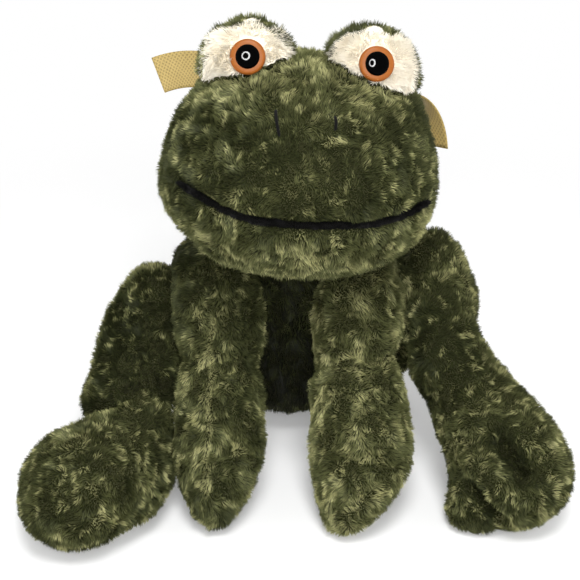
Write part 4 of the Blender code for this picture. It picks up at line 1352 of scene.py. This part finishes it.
def ribbon_tail(side, knot, width):
    """A free tail of the ribbon, gathered at the knot and open at its end, with its flat length."""
    route = interpolate_bezier(knot, *(knot + Vector(turn) for turn in TAIL_TURNS[side]), TAIL_STEPS + 1)
    length = sum((b - a).length for a, b in zip(route, route[1:]))
    strip = bmesh.new()
    layer = strip.loops.layers.uv.new("weave")
    bmesh.ops.create_grid(strip, x_segments=TAIL_STEPS, y_segments=TAIL_THREADS, size=1)
    lie = TAIL_LIES[side].normalized()
    flat = {}
    for point in strip.verts:
        share, across = (point.co.x + 1) / 2, point.co.y
        opened = min(1, TAIL_GATHER + TAIL_OPENING * share)
        step = round(share * TAIL_STEPS)
        along = route[min(step + 1, TAIL_STEPS)] - route[max(step - 1, 0)]
        out = along.cross(lie).normalized()
        wide = out.cross(along).normalized()
        ripple = math.sin(across * RIPPLE_ACROSS + share * RIPPLE_ALONG) * RIPPLE * (RIPPLE_FADE - share)
        ripple += CUP * across**2
        flat[point] = (share * length, across * width / 2)
        point.co = route[step] + wide * (width / 2 * opened * across) + out * ripple
    for face in strip.faces:
        for corner in face.loops:
            corner[layer].uv = flat[corner.vert]
    tail = from_bmesh(f"{side}_ribbon_tail_cloth", strip)
    wall = tail.modifiers.new("thickness", "SOLIDIFY")
    wall.thickness = RIBBON_THICKNESS
    wall.offset = 0
    evaluated(tail)
    return tail, length


def ribbon_band(name):
    """A gathered piece of the ribbon, in the form of its solid."""
    shape = welded(name)
    layer = shape.loops.layers.uv.new("weave")
    bmesh.ops.subdivide_edges(shape, edges=shape.edges[:], cuts=2, use_grid_fill=True)
    soften(shape, BAND_SMOOTHINGS)
    for face in shape.faces:
        for corner in face.loops:
            place = corner.vert.co
            corner[layer].uv = (math.atan2(place.x, place.y) * BAND_RADIUS, place.z)
    return from_bmesh(name + "_cloth", shape)


class PLUSH_OT_ribbon(bpy.types.Operator):
    """Makes the gathered band, the knot and the two tails of the ribbon"""

    bl_idname = "plush.ribbon"
    bl_label = "Ribbon"

    def execute(self, context):
        width = settings("trim").ribbon_width
        cloth = ribbon_material()
        for side in SIDES:
            tail, length = ribbon_tail(side, centre_of("ribbon_knot"), width)
            fit(tail, "torso", f"{side}_ribbon_tail", cloth)
        for name in ("ribbon_collar", "ribbon_knot"):
            fit(ribbon_band(name), "torso", name, cloth)
        return {"FINISHED"}


class PLUSH_OT_pile(bpy.types.Operator):
    """Grows the pile on every skin, shorter where two skins meet"""

    bl_idname = "plush.pile"
    bl_label = "Pile"

    def execute(self, context):
        for coat in Coat.made:
            for together, least in ((True, LEAST_TOGETHER), (False, 0)):
                points, faces = [], []
                for other in Coat.made:
                    if other is coat or (other.body == coat.body and not coat.blend) != together:
                        continue
                    first = len(points)
                    points.extend(map(tuple, points_of(other.skin.data)))
                    faces.extend(tuple(first + i for i in face.vertices) for face in other.skin.data.polygons)
                if faces:
                    coat.clear((points, faces), least)
        tree = pile_tree()
        seed = settings("stage").seed
        for i, coat in enumerate(Coat.made):
            coat.store()
            coat.grow(tree, seed + 10 * i)
        return {"FINISHED"}


STEPS = ("stage", "head", "torso", "arms", "legs", "eye_mounds", "eyes", "face", "ribbon", "pile")
GROUPS = {"fleece": FleeceSettings, "cream": CreamSettings, "trim": TrimSettings, "stage": StageSettings}


class PLUSH_PT_panel(bpy.types.Panel):
    """Lists the toy's steps and settings"""

    bl_idname = "PLUSH_PT_panel"
    bl_label = "Plush Frog"
    bl_space_type = "VIEW_3D"
    bl_region_type = "UI"
    bl_category = "Plush Frog"

    def draw(self, context):
        for name in STEPS:
            self.layout.operator("plush." + name)
        for name, group in GROUPS.items():
            self.layout.label(text=name.title())
            for key in group.__annotations__:
                self.layout.prop(settings(name), key)


CLASSES = (
    *GROUPS.values(),
    PLUSH_OT_stage,
    PLUSH_OT_head,
    PLUSH_OT_torso,
    PLUSH_OT_arms,
    PLUSH_OT_legs,
    PLUSH_OT_eye_mounds,
    PLUSH_OT_eyes,
    PLUSH_OT_face,
    PLUSH_OT_ribbon,
    PLUSH_OT_pile,
    PLUSH_PT_panel,
)


def register():
    """Registers the classes and adds the settings to the scene."""
    for made in CLASSES:
        bpy.utils.register_class(made)
    for name, group in GROUPS.items():
        setattr(bpy.types.Scene, "plush_frog_" + name, PointerProperty(type=group))


def unregister():
    """Removes the settings and the classes."""
    for name in GROUPS:
        delattr(bpy.types.Scene, "plush_frog_" + name)
    for made in reversed(CLASSES):
        bpy.utils.unregister_class(made)


def main():
    """Makes the toy's looks step by step."""
    register()
    for name in STEPS:
        getattr(bpy.ops.plush, name)()


if __name__ == "__main__":
    main()
